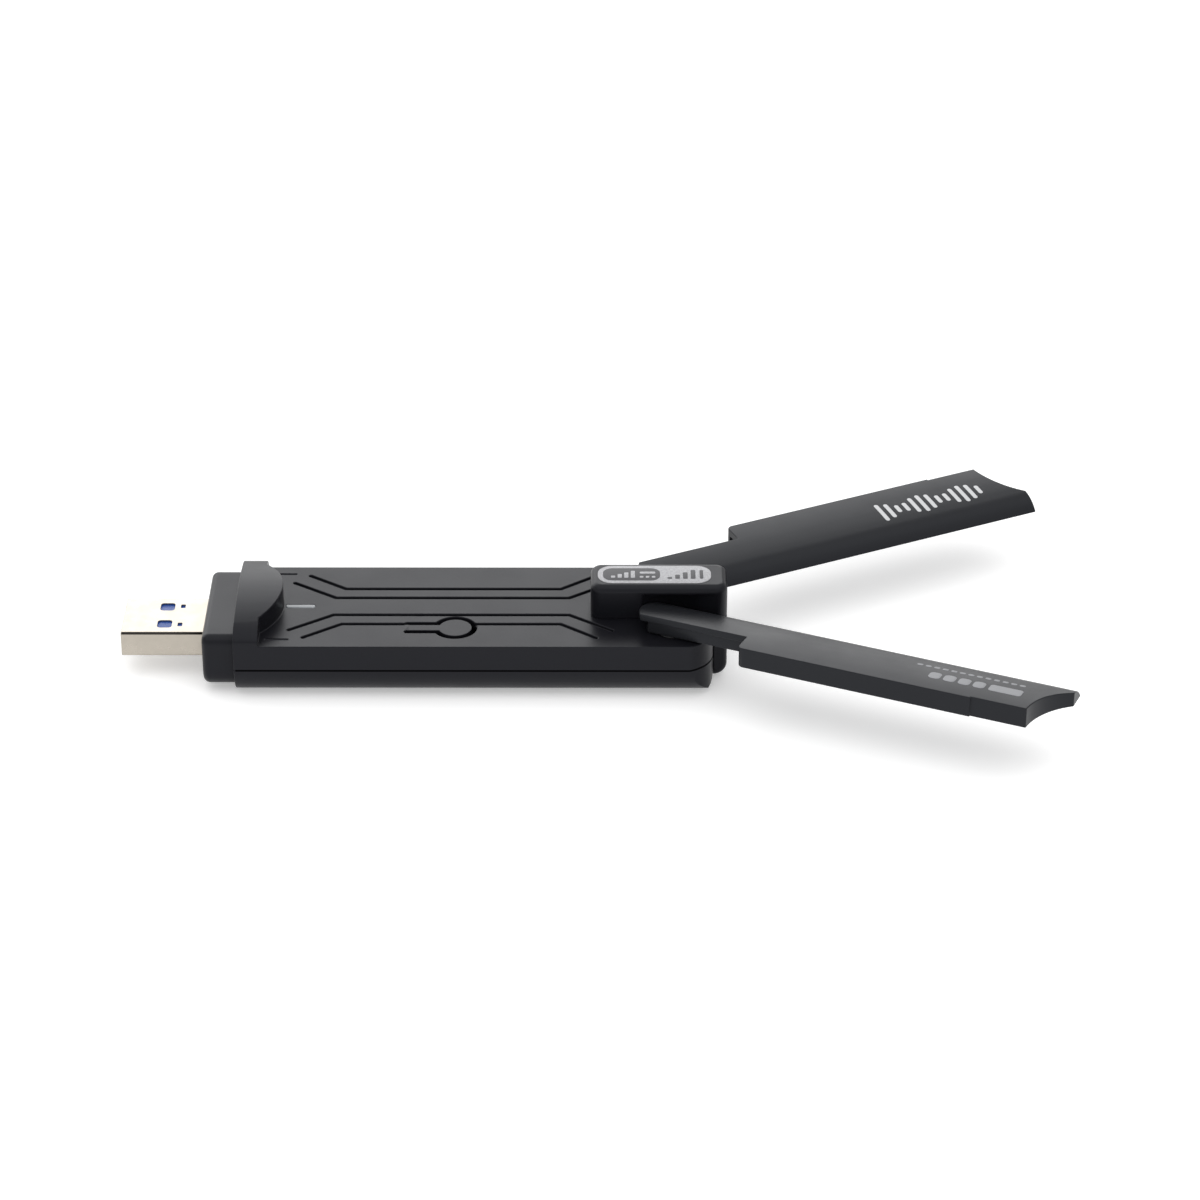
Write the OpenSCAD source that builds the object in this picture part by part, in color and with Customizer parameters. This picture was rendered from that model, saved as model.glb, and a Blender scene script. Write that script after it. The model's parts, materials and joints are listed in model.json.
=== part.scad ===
// USB Wi-Fi adapter with two fold-out antennas. Millimetres.
// Origin: middle of the flat rest face. +X to the antenna hinges, -X to the plug, +Z up.

/* [Housing] */
// Length of the housing without the plug
body_l = 84.8; // [82:0.1:88]
// Width of the housing
body_w = 27.4; // [26.5:0.1:29]
// Height of the flat top face above the rest face
body_h = 10.2; // [10:0.1:11]
// Plan radius of the two rear corners
corner_r = 6.2; // [6:0.1:6.5]
// Radius of the rear lower edge
heel_r = 2.5; // [1:0.1:2.6]
// Height of the parting line between the two shells
part_z = 5.65; // [5.4:0.05:6]
// Wall thickness of the shells
wall = 1.3; // [1.1:0.05:1.5]
// Thickness of the top deck
deck = 1.4; // [1.2:0.1:1.6]

/* [Front end] */
// Length of the collar that carries the plug
collar_l = 5.4; // [4.5:0.1:6]
// Width of the collar
collar_w = 23.8; // [22:0.1:25]
// Height of the collar's lower edge above the rest face
collar_z = 1.1; // [1:0.1:2.2]
// Rise of the collar above the top face
collar_up = 0.65; // [0:0.05:1]
// Length of the raised hump behind the collar
hump_l = 4.1; // [4:0.1:5]
// Height of the hump and antenna crown above the top face
crown_h = 3.9; // [3.8:0.1:4.6]
// Radius of the crown across the width
crown_r = 50; // [44:0.5:56]
// Radius of the long outer edge of the crown
crown_edge = 5.4; // [4:0.1:5.6]
// Overhang of the crown's full section past the housing's side
crown_over = 0.85; // [0.4:0.05:0.9]
// Plan radius of the rounded tongue behind the hump
tongue_r = 14.2; // [13:0.1:15]
// Reach of the tongue past the hump
tongue_l = 3.4; // [3:0.1:3.8]

/* [USB plug] */
// Length of plug outside the collar
plug_l = 14; // [12:0.1:16]
// Width of the metal shell
plug_w = 12; // [11.9:0.05:12.1]
// Height of the metal shell
plug_h = 4.5; // [4.4:0.05:4.6]
// Sheet thickness of the metal shell
plug_t = 0.3; // [0.25:0.01:0.35]
// Height of the plug's middle above the rest face
plug_z = 6.2; // [6:0.05:6.4]

/* [Antennas] */
// Distance of each hinge axis from the middle plane
pivot_y = 7.9; // [7.6:0.05:8.2]
// Distance of the hinge axes from the rear face
pivot_back = 6.5; // [6.2:0.1:7]
// Gap under the antenna blades
lift = 0.3; // [0.3:0.05:0.6]
// Wall thickness of the antenna cover
ant_wall = 1.1; // [0.9:0.05:1.2]
// Radius of the antenna root about its hinge
root_r = 5.85; // [5.6:0.05:6]
// Radius of the hinge barrel
barrel_r = 2.2; // [2:0.05:2.4]
// Running clearance of the hinge barrel in its bore
barrel_gap = 0.05; // [0.03:0.01:0.1]
// Angle of the near antenna from straight back
near_angle = 23.5; // [20:0.5:90]
// Angle of the far antenna from straight back
far_angle = 26.5; // [20:0.5:90]

/* [Hinge bridge] */
// Width of the bridge between the hinges
bridge_w = 8.7; // [8.2:0.1:9]
// Length of the bridge along the housing
bridge_l = 22.8; // [21:0.1:24]
// Height of the bridge above the top face
bridge_h = 6.1; // [5.6:0.1:6.4]
// Width of the leg behind the housing
leg_w = 12.2; // [9:0.1:13]
// Thickness of the leg that wraps over the rear end
leg_t = 2.4; // [2:0.1:3]
// Angle from straight back at which an antenna meets its stop
stop_angle = 22.5; // [20:0.5:23]
// Radius of the pockets that the antenna roots turn in
pocket_r = 6.4; // [6.2:0.05:6.45]
// Height of the pockets above the top face
pocket_h = 4.65; // [4.5:0.05:4.8]
// Length of the label on the bridge
label_l = 18.9; // [16:0.1:20]
// Width of the label on the bridge
label_w = 6; // [5:0.1:6.6]

/* [Top face details] */
// Width of the decorative grooves
groove_w = 0.7; // [0.5:0.05:0.9]
// Depth of the decorative grooves
groove_d = 0.5; // [0.3:0.05:0.7]
// Distance of the inner groove pair from the middle
groove_in = 2.9; // [2.5:0.1:3.2]
// Distance of the outer groove pair from the middle
groove_out = 6; // [5.6:0.1:6.3]
// Diameter of the WPS button disc
button_d = 5.5; // [5:0.1:6]
// Width of the slot around the button
button_slot = 0.9; // [0.6:0.05:1]
// Length of the flexing arm from the disc centre
arm_l = 8; // [7:0.1:9]
// Width of the flexing arm
arm_w = 1.8; // [1.5:0.1:2]

/* [Circuit board] */
// Height of the board's lower face above the rest face
pcb_z = 2.95; // [2.8:0.05:3]
// Thickness of the board
pcb_t = 1; // [0.8:0.1:1]
// Width of the board
pcb_w = 21; // [19:0.1:21.4]

/* [Hidden] */
$fn = 64;
front_x = -body_l / 2;
rear_x = body_l / 2;
hump_x = front_x + collar_l;
blade_x = hump_x + hump_l;
half_w = body_w / 2;
crown_w = half_w + crown_over;
pivot_x = rear_x - pivot_back;
top = body_h;
ant_z = top + lift;
bridge_x = rear_x + leg_t - bridge_l;
tongue_cx = blade_x + tongue_l - tongue_r;
tongue_x = blade_x + tongue_l;
tip_x = blade_x + 0.3;
tip_cx = blade_x - 7.3;
tip_r = 12.6;
pipe_x0 = tongue_x + 0.4;
pipe_x1 = pipe_x0 + 4.4;
pipe_w = 1.1;
led_x = pipe_x0 + 2.4;
blade_in = 0.3;
root_in = bridge_w / 2 + 0.15;
root_x = bridge_x - 0.3;
finger = 0.3;
finger_x = blade_x + 14.6;
seam_z = ant_z + 2.2;
boss_z = top - 3.2;
side_r = part_z;
pcb_top = pcb_z + pcb_t;
pcb_x0 = hump_x + 2.2;
pcb_x1 = pivot_x - 5.9;
posts = [[-30, 8.8], [21.5, 8.8]];
button_at = [-0.5, -7.2];
arm_x = button_at[0] - arm_l;
switch_top = pcb_top + 1.8;
screws = [[bridge_x + 3.2, 2.2], [bridge_x + 3.2, -2.2]];
coax_r = 0.45;
coax_z = ant_z + 1.25;
socket_x = pivot_x - 8.4;
black = [0.11, 0.11, 0.12];
steel = [0.78, 0.77, 0.74];
gold = [0.85, 0.68, 0.32];
copper = [0.78, 0.45, 0.28];

// ---------- helpers ----------

// Box between two corners.
module box(x, y, z)
    translate([x[0], y[0], z[0]])
        cube([x[1] - x[0], y[1] - y[0], z[1] - z[0]]);

// Flat rectangle between two corners.
module rect(x, y)
    translate([x[0], y[0]])
        square([x[1] - x[0], y[1] - y[0]]);

// Upright prism of a plan between two heights.
module prism(z0, z1)
    translate([0, 0, z0])
        linear_extrude(z1 - z0)
            children();

// Prism along X of a profile drawn as (y, z).
module along_x(x0, x1)
    translate([x0, 0, 0])
        rotate([90, 0, 90])
            linear_extrude(x1 - x0)
                children();

// Prism along Y of a profile drawn as (x, z).
module along_y(y0, y1)
    translate([0, y1, 0])
        rotate([90, 0, 0])
            linear_extrude(y1 - y0)
                children();

// Upright cylinder at a plan position.
module post(at, r, z0, z1)
    translate([at[0], at[1], z0])
        cylinder(r = r, h = z1 - z0);

// Upright ring at a plan position.
module ring(at, r_out, r_in, z0, z1)
    difference() {
        post(at, r_out, z0, z1);
        post(at, r_in, z0 - 1, z1 + 1);
    }

// Rectangle with four rounded corners.
module soft_rect(x, y, r) {
    rect([x[0] + r, x[1] - r], y);
    rect(x, [y[0] + r, y[1] - r]);
    for (i = [x[0] + r, x[1] - r])
        for (j = [y[0] + r, y[1] - r])
            translate([i, j])
                circle(r);
}

// Straight groove with round ends between two plan points.
module groove(a, b, w, z0, z1) {
    d = b - a;
    translate([a[0], a[1], z0])
        rotate([0, 0, atan2(d[1], d[0])])
            linear_extrude(z1 - z0) {
                translate([0, -w / 2])
                    square([norm(d), w]);
                circle(w / 2);
                translate([norm(d), 0])
                    circle(w / 2);
            }
}

// Copies the children and their mirror image across the middle plane.
module both_sides() {
    children();
    mirror([0, 1, 0])
        children();
}

// Turns a folded far-side antenna piece to its open position.
module open_far()
    translate([pivot_x, pivot_y, 0])
        rotate([0, 0, far_angle - 180])
            translate([-pivot_x, -pivot_y, 0])
                children();

// The same for the near side, mirrored first.
module open_near()
    translate([pivot_x, -pivot_y, 0])
        rotate([0, 0, 180 - near_angle])
            translate([-pivot_x, pivot_y, 0])
                mirror([0, 1, 0])
                    children();

// ---------- shared outlines ----------

// Plan of the housing behind the collar, with large round rear corners.
module body_plan(inset) {
    rect([hump_x + inset, pivot_x], [-half_w - 2, half_w + 2]);
    rect([pivot_x - 1, rear_x - inset], [-pivot_y, pivot_y]);
    for (s = [-1, 1])
        translate([rear_x - corner_r, s * pivot_y])
            circle(corner_r - inset);
}

// Cross section of the domed crown: one wide arc with a tangent edge arc on each side.
module dome(w, z, r, e, z0) {
    zc = z - r;
    ey = w - e;
    ez = zc + sqrt(pow(r - e, 2) - pow(ey, 2));
    a = asin(ey / (r - e));
    reach = 2 * r;
    rect([-w, w], [z0, ez]);
    for (s = [-1, 1])
        translate([s * ey, ez])
            circle(e);
    intersection() {
        translate([0, zc])
            circle(r);
        polygon([
            [0, zc],
            [reach * sin(a), zc + reach * cos(a)],
            [-reach * sin(a), zc + reach * cos(a)]
        ]);
        rect([-w, w], [z0, z + 1]);
    }
}

// The crown's section moved inwards by a wall thickness.
module crown(inset)
    dome(crown_w - inset, top + crown_h - inset, crown_r - inset, crown_edge - inset, top - 3.2);

// Plan of the hump with its rounded tongue.
module hump_plan(inset) {
    rect([hump_x + inset, blade_x - inset], [inset - half_w, half_w - inset]);
    intersection() {
        translate([tongue_cx, 0])
            circle(tongue_r - inset);
        rect([hump_x + inset, blade_x + 10], [-half_w, half_w]);
    }
}

// Cross section of the lower shell: flat floor with quarter-round sides.
module floor_section(inset)
    intersection() {
        union() {
            rect([side_r - half_w, half_w - side_r], [inset, part_z + 2]);
            for (s = [-1, 1])
                translate([s * (half_w - side_r), part_z])
                    circle(side_r - inset);
        }
        rect([-half_w - 1, half_w + 1], [-1, part_z + (inset > 0 ? 1 : 0)]);
    }

// ---------- housing ----------

module top_shell()
    color(black)
        difference() {
            union() {
                difference() {
                    union() {
                        intersection() {
                            prism(part_z, top)
                                body_plan(0);
                            box([-60, 60], [-half_w, half_w], [0, 20]);
                        }
                        intersection() {
                            prism(top - 1, top + crown_h + 1)
                                hump_plan(0);
                            along_x(hump_x - 1, blade_x + 8)
                                crown(0);
                        }
                    }
                    shell_cavity();
                }
                shell_inner_posts();
            }
            for (s = [-1, 1])
                post([pivot_x, s * pivot_y], barrel_r + barrel_gap, boss_z - 1, top + 1);
            top_grooves();
            button_window();
            pipe_bar(pipe_w, top - deck - 1, top + 1);
            for (p = screws)
                post(p, 0.7, top - deck - 1, top + 1);
            collar_window();
        }

// The space inside the upper shell and its hump, with a rebate for the lower shell's lip.
module shell_cavity() {
    intersection() {
        prism(part_z - 1, top - deck)
            body_plan(wall);
        box([-60, 60], [wall - half_w, half_w - wall], [0, 20]);
    }
    intersection() {
        prism(top - deck - 1, top + crown_h)
            hump_plan(wall + 0.2);
        along_x(hump_x, blade_x + 6)
            crown(1.5);
    }
    intersection() {
        prism(part_z - 1, part_z + 0.9)
            body_plan(wall - 0.5);
        box([-60, 60], [0.8 - half_w, half_w - 0.8], [0, 20]);
    }
}

// Bearing bosses for the hinge barrels and the four locating tubes with pins.
module shell_inner_posts() {
    both_sides()
        post([pivot_x, pivot_y], 3.6, boss_z, top - deck + 0.1);
    both_sides()
        for (p = posts) {
            post(p, 1.5, part_z - 0.35, top - deck + 0.1);
            post(p, 0.75, pcb_top + 0.4, part_z);
        }
}

// Grooves pressed into the top face, in mirrored pairs with splayed ends.
module top_grooves() {
    z0 = top - groove_d;
    z1 = top + 0.2;
    both_sides() {
        groove([-20.9, groove_in], [18.4, groove_in], groove_w, z0, z1);
        groove([-20.9, groove_in], [-28.1, 8], groove_w, z0, z1);
        groove([18.4, groove_in], [25.5, 8.1], groove_w, z0, z1);
        groove([-19.4, groove_out], [17, groove_out], groove_w, z0, z1);
        groove([-19.4, groove_out], [-25.6, 10.5], groove_w, z0, z1);
        groove([17, groove_out], [22.9, 10.6], groove_w, z0, z1);
        groove([-31.7, 11.15], [-28.2, 11.15], 0.4, top - 0.2, z1);
    }
}

// Keyhole opening around the WPS button and its arm.
module button_window() {
    slot = button_slot;
    post(button_at, button_d / 2 + slot, top - deck - 1, top + 1);
    for (s = [-1, 1]) {
        y = button_at[1] + s * (arm_w + slot) / 2;
        groove([arm_x, y], [button_at[0], y], slot, top - deck - 1, top + 1);
    }
    box(
        [arm_x - 0.06, button_at[0]],
        [button_at[1] - arm_w / 2 - 0.1, button_at[1] + arm_w / 2 + 0.1],
        [top - deck - 1, top + 1]
    );
}

// Opening in both shells' front walls for the collar's tenon.
module collar_window()
    box([hump_x - 1, hump_x + wall + 0.05], [-9.05, 9.05], [2.9, 9.25]);

module bottom_shell()
    color(black)
        difference() {
            union() {
                difference() {
                    intersection() {
                        prism(-1, part_z)
                            body_plan(0);
                        along_x(hump_x, rear_x)
                            floor_section(0);
                        along_y(-20, 20)
                            rear_round(heel_r);
                    }
                    intersection() {
                        prism(0, part_z + 1)
                            body_plan(wall);
                        along_x(hump_x, rear_x)
                            floor_section(wall);
                    }
                }
                shell_lip();
                both_sides()
                    for (p = posts)
                        post(p, 1.7, wall - 0.2, pcb_z);
                both_sides()
                    for (p = posts)
                        post(p, 1.3, wall, part_z - 0.4);
                both_sides()
                    box([-34, -20], [3.2, 4], [wall - 0.2, pcb_z]);
                both_sides()
                    box([0, 14], [3.2, 4], [wall - 0.2, pcb_z]);
            }
            both_sides()
                for (p = posts)
                    post(p, 0.8, pcb_top, part_z + 1);
            collar_window();
            box([rear_x - wall - 1, rear_x + 1], [-2.05, 2.05], [2.15, 3.45]);
        }

// Side view of the housing with a small radius on the rear lower edge.
module rear_round(r) {
    rect([hump_x - 1, rear_x - r], [-1, part_z + 1]);
    rect([rear_x - r - 1, rear_x + 1], [r, part_z + 1]);
    translate([rear_x - r, r])
        circle(r);
}

// Raised lip of the lower shell that locates the upper one.
module shell_lip()
    difference() {
        intersection() {
            prism(part_z - 1, part_z + 0.8)
                body_plan(wall - 0.45);
            box([-60, 60], [0.85 - half_w, half_w - 0.85], [0, 20]);
        }
        intersection() {
            prism(0, part_z + 2)
                body_plan(wall);
            box([-60, 60], [wall - half_w, half_w - wall], [-1, 20]);
        }
    }

module front_collar()
    color(black)
        difference() {
            union() {
                along_x(front_x, hump_x)
                    collar_section(0);
                along_x(hump_x - 1, hump_x + wall)
                    rect([-9, 9], [2.95, 9.2]);
            }
            box(
                [front_x - 1, hump_x + wall + 1],
                [-plug_w / 2 - 0.05, plug_w / 2 + 0.05],
                [plug_z - plug_h / 2 - 0.05, plug_z + plug_h / 2 + 0.05]
            );
        }

// Collar cross section: tighter radii above, wider ones below.
module collar_section(inset) {
    w = collar_w / 2 - inset;
    r1 = 1.5 - inset;
    r2 = 3 - inset;
    z0 = collar_z + inset;
    z1 = top + collar_up - inset;
    rect([r2 - w, w - r2], [z0, z1]);
    rect([-w, w], [z0 + r2, z1 - r1]);
    for (s = [-1, 1]) {
        translate([s * (w - r2), z0 + r2])
            circle(r2);
        translate([s * (w - r1), z1 - r1])
            circle(r1);
    }
    rect([r1 - w, w - r1], [z1 - r1 - 1, z1]);
}

// ---------- hinge bridge ----------

module hinge_bridge()
    color(black)
        difference() {
            union() {
                intersection() {
                    along_y(-20, 20)
                        bridge_side();
                    along_x(bridge_x - 1, rear_x + leg_t + 1)
                        bridge_section();
                    prism(0, top + bridge_h + 1)
                        soft_rect([bridge_x, rear_x + leg_t], [-bridge_w / 2, bridge_w / 2], 1.5);
                }
                intersection() {
                    along_y(-leg_w / 2, leg_w / 2)
                        leg_side();
                    prism(0, top + 1)
                        soft_rect([rear_x - 5, rear_x + leg_t], [-leg_w / 2, leg_w / 2], 1.5);
                }
                box([rear_x - wall - 0.6, rear_x + 0.5], [-2, 2], [2.2, 3.4]);
            }
            prism(top - 1, top + pocket_h)
                both_sides()
                    pocket_plan();
            for (p = screws)
                post(p, 0.7, top - 1, top + 3.6);
            prism(top + bridge_h - 0.1, top + bridge_h + 1)
                label_plan(0.03);
        }

// Plan of a root pocket: round about the hinge, with a flat that stops the open antenna.
module pocket_plan() {
    translate([pivot_x, pivot_y]) {
        circle(pocket_r);
        rotate([0, 0, stop_angle])
            translate([0, -root_r - 0.2])
                square([14, root_r]);
    }
}

// Side view of the bridge: roof, web and rear leg.
module bridge_side() {
    r = 1.1;
    x1 = rear_x + leg_t;
    z1 = top + bridge_h;
    rect([bridge_x, x1], [top, z1 - r]);
    rect([bridge_x + r, x1 - r], [top, z1]);
    for (x = [bridge_x + r, x1 - r])
        translate([x, z1 - r])
            circle(r);
    rect([rear_x, x1], [heel_r, top + 1]);
}

// Side view of the leg: it follows the rear end down and a little way under the heel.
module leg_side() {
    x1 = rear_x + leg_t;
    difference() {
        union() {
            rect([rear_x - 1.2, x1], [heel_r, top]);
            rect([rear_x - 1.2, x1 - 2.2], [0.3, heel_r + 1]);
            translate([x1 - 2.2, heel_r])
                circle(2.2);
        }
        rect([rear_x - 5, rear_x], [heel_r, top + 1]);
        translate([rear_x - heel_r, heel_r])
            circle(heel_r);
    }
}

// Front view of the bridge with rounded upper edges.
module bridge_section() {
    w = bridge_w / 2;
    r = 1.1;
    z1 = top + bridge_h;
    rect([-w, w], [0, z1 - r]);
    rect([r - w, w - r], [z1 - r - 1, z1]);
    for (s = [-1, 1])
        translate([s * (w - r), z1 - r])
            circle(r);
}

// Pill outline of the label.
module label_plan(grow) {
    r = label_w / 2 + grow;
    x0 = bridge_x + 1.2 + r - grow;
    x1 = x0 + label_l - label_w;
    rect([x0, x1], [-r, r]);
    for (x = [x0, x1])
        translate([x, 0])
            circle(r);
}

module label_plate()
    color([0.85, 0.85, 0.86])
        prism(top + bridge_h - 0.1, top + bridge_h + 0.06)
            label_plan(0);

// Generic printed marks: rising signal bars and a row of dashes.
module label_print()
    color([0.2, 0.2, 0.22]) {
        z0 = top + bridge_h + 0.06;
        for (i = [0:3])
            box(
                [bridge_x + 5 + 0.9 * i, bridge_x + 5.5 + 0.9 * i],
                [-1, -0.5 + 0.5 * i],
                [z0, z0 + 0.03]
            );
        for (i = [0:4])
            box(
                [bridge_x + 10 + 1.6 * i, bridge_x + 11.2 + 1.6 * i],
                [-0.9, -0.5],
                [z0, z0 + 0.03]
            );
        box([bridge_x + 10, bridge_x + 17.6], [0.4, 0.9], [z0, z0 + 0.03]);
    }

module bridge_screws()
    color(steel)
        for (p = screws)
            difference() {
                union() {
                    post(p, 1.25, top - deck - 0.8, top - deck);
                    post(p, 0.65, top - deck - 0.1, top + 3.4);
                }
                post(p, 0.45, top - deck - 1, top - deck - 0.35);
            }

module thrust_washers()
    color([0.16, 0.16, 0.17])
        both_sides()
            ring([pivot_x, pivot_y], 3, barrel_r + 0.15, top, top + lift - 0.05);

// ---------- USB plug ----------

module usb_shell()
    color(steel)
        difference() {
            union() {
                along_x(front_x - plug_l, hump_x + 4)
                    soft_rect(
                        [-plug_w / 2, plug_w / 2],
                        [plug_z - plug_h / 2, plug_z + plug_h / 2],
                        0.6
                    );
                both_sides()
                    box([hump_x + 2.6, hump_x + 3.6], [5.7, 6], [pcb_z - 0.3, plug_z]);
            }
            along_x(front_x - plug_l - 1, hump_x + 5)
                soft_rect(
                    [plug_t - plug_w / 2, plug_w / 2 - plug_t],
                    [plug_z - plug_h / 2 + plug_t, plug_z + plug_h / 2 - plug_t],
                    0.3
                );
            both_sides()
                prism(plug_z, plug_z + 5) {
                    soft_rect([front_x - 8.1, front_x - 5.7], [1.65, 4.15], 0.5);
                    soft_rect([front_x - 4.7, front_x - 3.95], [2.5, 3.7], 0.15);
                }
            both_sides()
                prism(0, plug_z - 2.1)
                    soft_rect([front_x - 8.1, front_x - 5.7], [1.65, 4.15], 0.5);
        }

module usb_insulator()
    color([0.09, 0.25, 0.62])
        difference() {
            union() {
                box(
                    [front_x - plug_l + 0.5, hump_x + 5],
                    [-5.35, 5.35],
                    [plug_z + 0.05, plug_z + plug_h / 2 - plug_t - 0.02]
                );
                along_x(front_x - 1.6, hump_x + 5)
                    soft_rect(
                        [plug_t + 0.02 - plug_w / 2, plug_w / 2 - plug_t - 0.02],
                        [plug_z - plug_h / 2 + plug_t + 0.02, plug_z + plug_h / 2 - plug_t - 0.02],
                        0.4
                    );
            }
            for (y = [-3.5, -1, 1, 3.5])
                box([front_x - plug_l + 0.4, hump_x + 6], [y - 0.5, y + 0.5], [plug_z + 0.05, plug_z + 0.25]);
            for (y = [-4, -2, 0, 2, 4])
                box([front_x - 1.7, hump_x + 6], [y - 0.3, y + 0.3], [plug_z - 0.8, plug_z - 0.6]);
        }

module usb_contacts()
    color(gold)
        for (y = [-3.5, -1, 1, 3.5]) {
            box([front_x - plug_l + 1.2, hump_x + 5.2], [y - 0.5, y + 0.5], [plug_z + 0.05, plug_z + 0.25]);
            box([hump_x + 5, hump_x + 5.2], [y - 0.15, y + 0.15], [pcb_top, plug_z + 0.1]);
            box([hump_x + 5, hump_x + 6], [y - 0.15, y + 0.15], [pcb_top, pcb_top + 0.2]);
        }

module usb_ss_contacts()
    color(gold)
        for (y = [-4, -2, 0, 2, 4]) {
            box([front_x - 2, hump_x + 6.6], [y - 0.3, y + 0.3], [plug_z - 0.8, plug_z - 0.6]);
            box([front_x - 2.2, front_x - 2], [y - 0.3, y + 0.3], [plug_z - 0.8, plug_z - 0.05]);
            box([front_x - 4, front_x - 2], [y - 0.3, y + 0.3], [plug_z - 0.25, plug_z - 0.05]);
            box([hump_x + 6.4, hump_x + 6.6], [y - 0.3, y + 0.3], [pcb_top, plug_z - 0.6]);
            box([hump_x + 6.4, hump_x + 7.4], [y - 0.3, y + 0.3], [pcb_top, pcb_top + 0.2]);
        }

// ---------- electronics ----------

module circuit_board()
    color([0.05, 0.3, 0.16])
        difference() {
            prism(pcb_z, pcb_top)
                soft_rect([pcb_x0, pcb_x1], [-pcb_w / 2, pcb_w / 2], 1);
            both_sides()
                for (p = posts)
                    post(p, 1.4, pcb_z - 1, pcb_top + 1);
            both_sides()
                box([hump_x + 2.5, hump_x + 3.7], [5.6, 6.1], [pcb_z - 1, pcb_top + 1]);
        }

module shield_frame()
    color(steel)
        difference() {
            box([3, 19], [-7.5, 7.5], [pcb_top, pcb_top + 1.3]);
            box([3.2, 18.8], [-7.3, 7.3], [pcb_top - 1, pcb_top + 2]);
        }

module shield_lid()
    color([0.83, 0.83, 0.82])
        difference() {
            box([2.75, 19.25], [-7.75, 7.75], [pcb_top + 0.3, pcb_top + 1.52]);
            box([2.95, 19.05], [-7.55, 7.55], [pcb_top, pcb_top + 1.32]);
            for (i = [0:3])
                for (j = [-1, 0, 1])
                    post([6.5 + 3 * i, 5 * j], 0.4, pcb_top, pcb_top + 2);
        }

module wifi_chip()
    color([0.07, 0.07, 0.08])
        union() {
            prism(pcb_top + 0.1, pcb_top + 0.9)
                soft_rect([6.5, 15.5], [-4.5, 4.5], 0.3);
            for (i = [-8:8]) {
                box([11 + 0.5 * i - 0.12, 11 + 0.5 * i + 0.12], [-4.6, 4.6], [pcb_top, pcb_top + 0.12]);
            }
        }

module thermal_pad()
    color([0.6, 0.66, 0.72])
        box([7, 15], [-4, 4], [pcb_top + 0.9, pcb_top + 1.3]);

// Small outline package with leads on two sides.
module gull_chip(at, l, w, h, n, pitch) {
    translate([at[0], at[1], pcb_top]) {
        translate([-l / 2, -w / 2, 0.1])
            cube([l, w, h]);
        for (i = [0:n - 1])
            for (s = [-1, 1])
                translate([(i - (n - 1) / 2) * pitch - 0.2, s < 0 ? -w / 2 - 0.7 : w / 2 - 0.1, 0])
                    cube([0.4, 0.8, 0.25]);
    }
}

module power_regulator()
    color([0.08, 0.08, 0.09])
        gull_chip([-22, 6], 2.9, 1.6, 1, 3, 0.95);

module flash_chip()
    color([0.08, 0.08, 0.09])
        gull_chip([-10.5, 3.5], 4.9, 3.9, 1.4, 4, 1.27);

module power_inductor()
    color([0.3, 0.3, 0.32])
        union() {
            prism(pcb_top, pcb_top + 0.4)
                soft_rect([-19, -15], [4.2, 8.2], 0.5);
            post([-17, 6.2], 1.5, pcb_top, pcb_top + 1.6);
            prism(pcb_top + 1.5, pcb_top + 1.9)
                soft_rect([-19, -15], [4.2, 8.2], 0.5);
        }

module crystal()
    color(steel)
        union() {
            prism(pcb_top, pcb_top + 0.3)
                soft_rect([-8.1, -4.9], [-3.25, -0.75], 0.2);
            prism(pcb_top + 0.2, pcb_top + 0.7)
                soft_rect([-7.9, -5.1], [-3.05, -0.95], 0.4);
        }

module smd_capacitors()
    color([0.72, 0.6, 0.42]) {
        for (i = [0:5])
            box([-16 + 1.8 * i, -15 + 1.8 * i], [-7.4, -6.9], [pcb_top, pcb_top + 0.5]);
        for (i = [0:4])
            box([0.6, 1.6], [-2 + 1.6 * i, -1.5 + 1.6 * i], [pcb_top, pcb_top + 0.5]);
        for (s = [-1, 1])
            box([23.8, 24.8], [s * 4 - 0.25, s * 4 + 0.25], [pcb_top, pcb_top + 0.5]);
    }

module smd_resistors()
    color([0.12, 0.12, 0.13]) {
        for (i = [0:5])
            box([-24 + 1.7 * i, -23 + 1.7 * i], [-4.6, -4.1], [pcb_top, pcb_top + 0.35]);
        for (i = [0:3])
            box([-12 + 1.7 * i, -11 + 1.7 * i], [8.2, 8.7], [pcb_top, pcb_top + 0.35]);
    }

module status_led()
    color([0.9, 0.93, 0.95])
        union() {
            box([led_x - 0.8, led_x + 0.8], [-0.4, 0.4], [pcb_top, pcb_top + 0.3]);
            box([led_x - 0.5, led_x + 0.5], [-0.4, 0.4], [pcb_top + 0.2, pcb_top + 0.65]);
        }

module light_pipe()
    color([0.95, 0.95, 0.93])
        union() {
            pipe_bar(pipe_w - 0.08, top - deck - 0.6, top);
            box([pipe_x0 + 0.8, pipe_x1 - 0.2], [-1.1, 1.1], [top - deck - 0.8, top - deck - 0.02]);
            box([led_x - 0.6, led_x + 0.6], [-0.45, 0.45], [pcb_top + 0.75, top - deck - 0.7]);
        }

// Bar of the light pipe: square next to the tongue, round at the other end.
module pipe_bar(w, z0, z1) {
    g = (pipe_w - w) / 2;
    box([pipe_x0 + g, pipe_x1], [-w / 2, w / 2], [z0, z1]);
    post([pipe_x1, 0], w / 2, z0, z1);
}

module switch_base()
    color([0.55, 0.55, 0.56])
        difference() {
            translate([button_at[0], button_at[1], 0])
                union() {
                    box([-2.2, 2.2], [-2.2, 2.2], [pcb_top, switch_top]);
                    for (s = [-1, 1])
                        for (t = [-1, 1])
                            box([s * 1.5 - 0.3, s * 1.5 + 0.3], [t * 2.5 - 0.4, t * 2.5 + 0.4], [pcb_top, pcb_top + 0.2]);
                }
            post(button_at, 1.2, pcb_top + 0.5, switch_top + 1);
        }

module switch_plunger()
    color([0.1, 0.1, 0.1])
        post(button_at, 0.8, pcb_top + 0.95, switch_top + 0.95);

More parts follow.
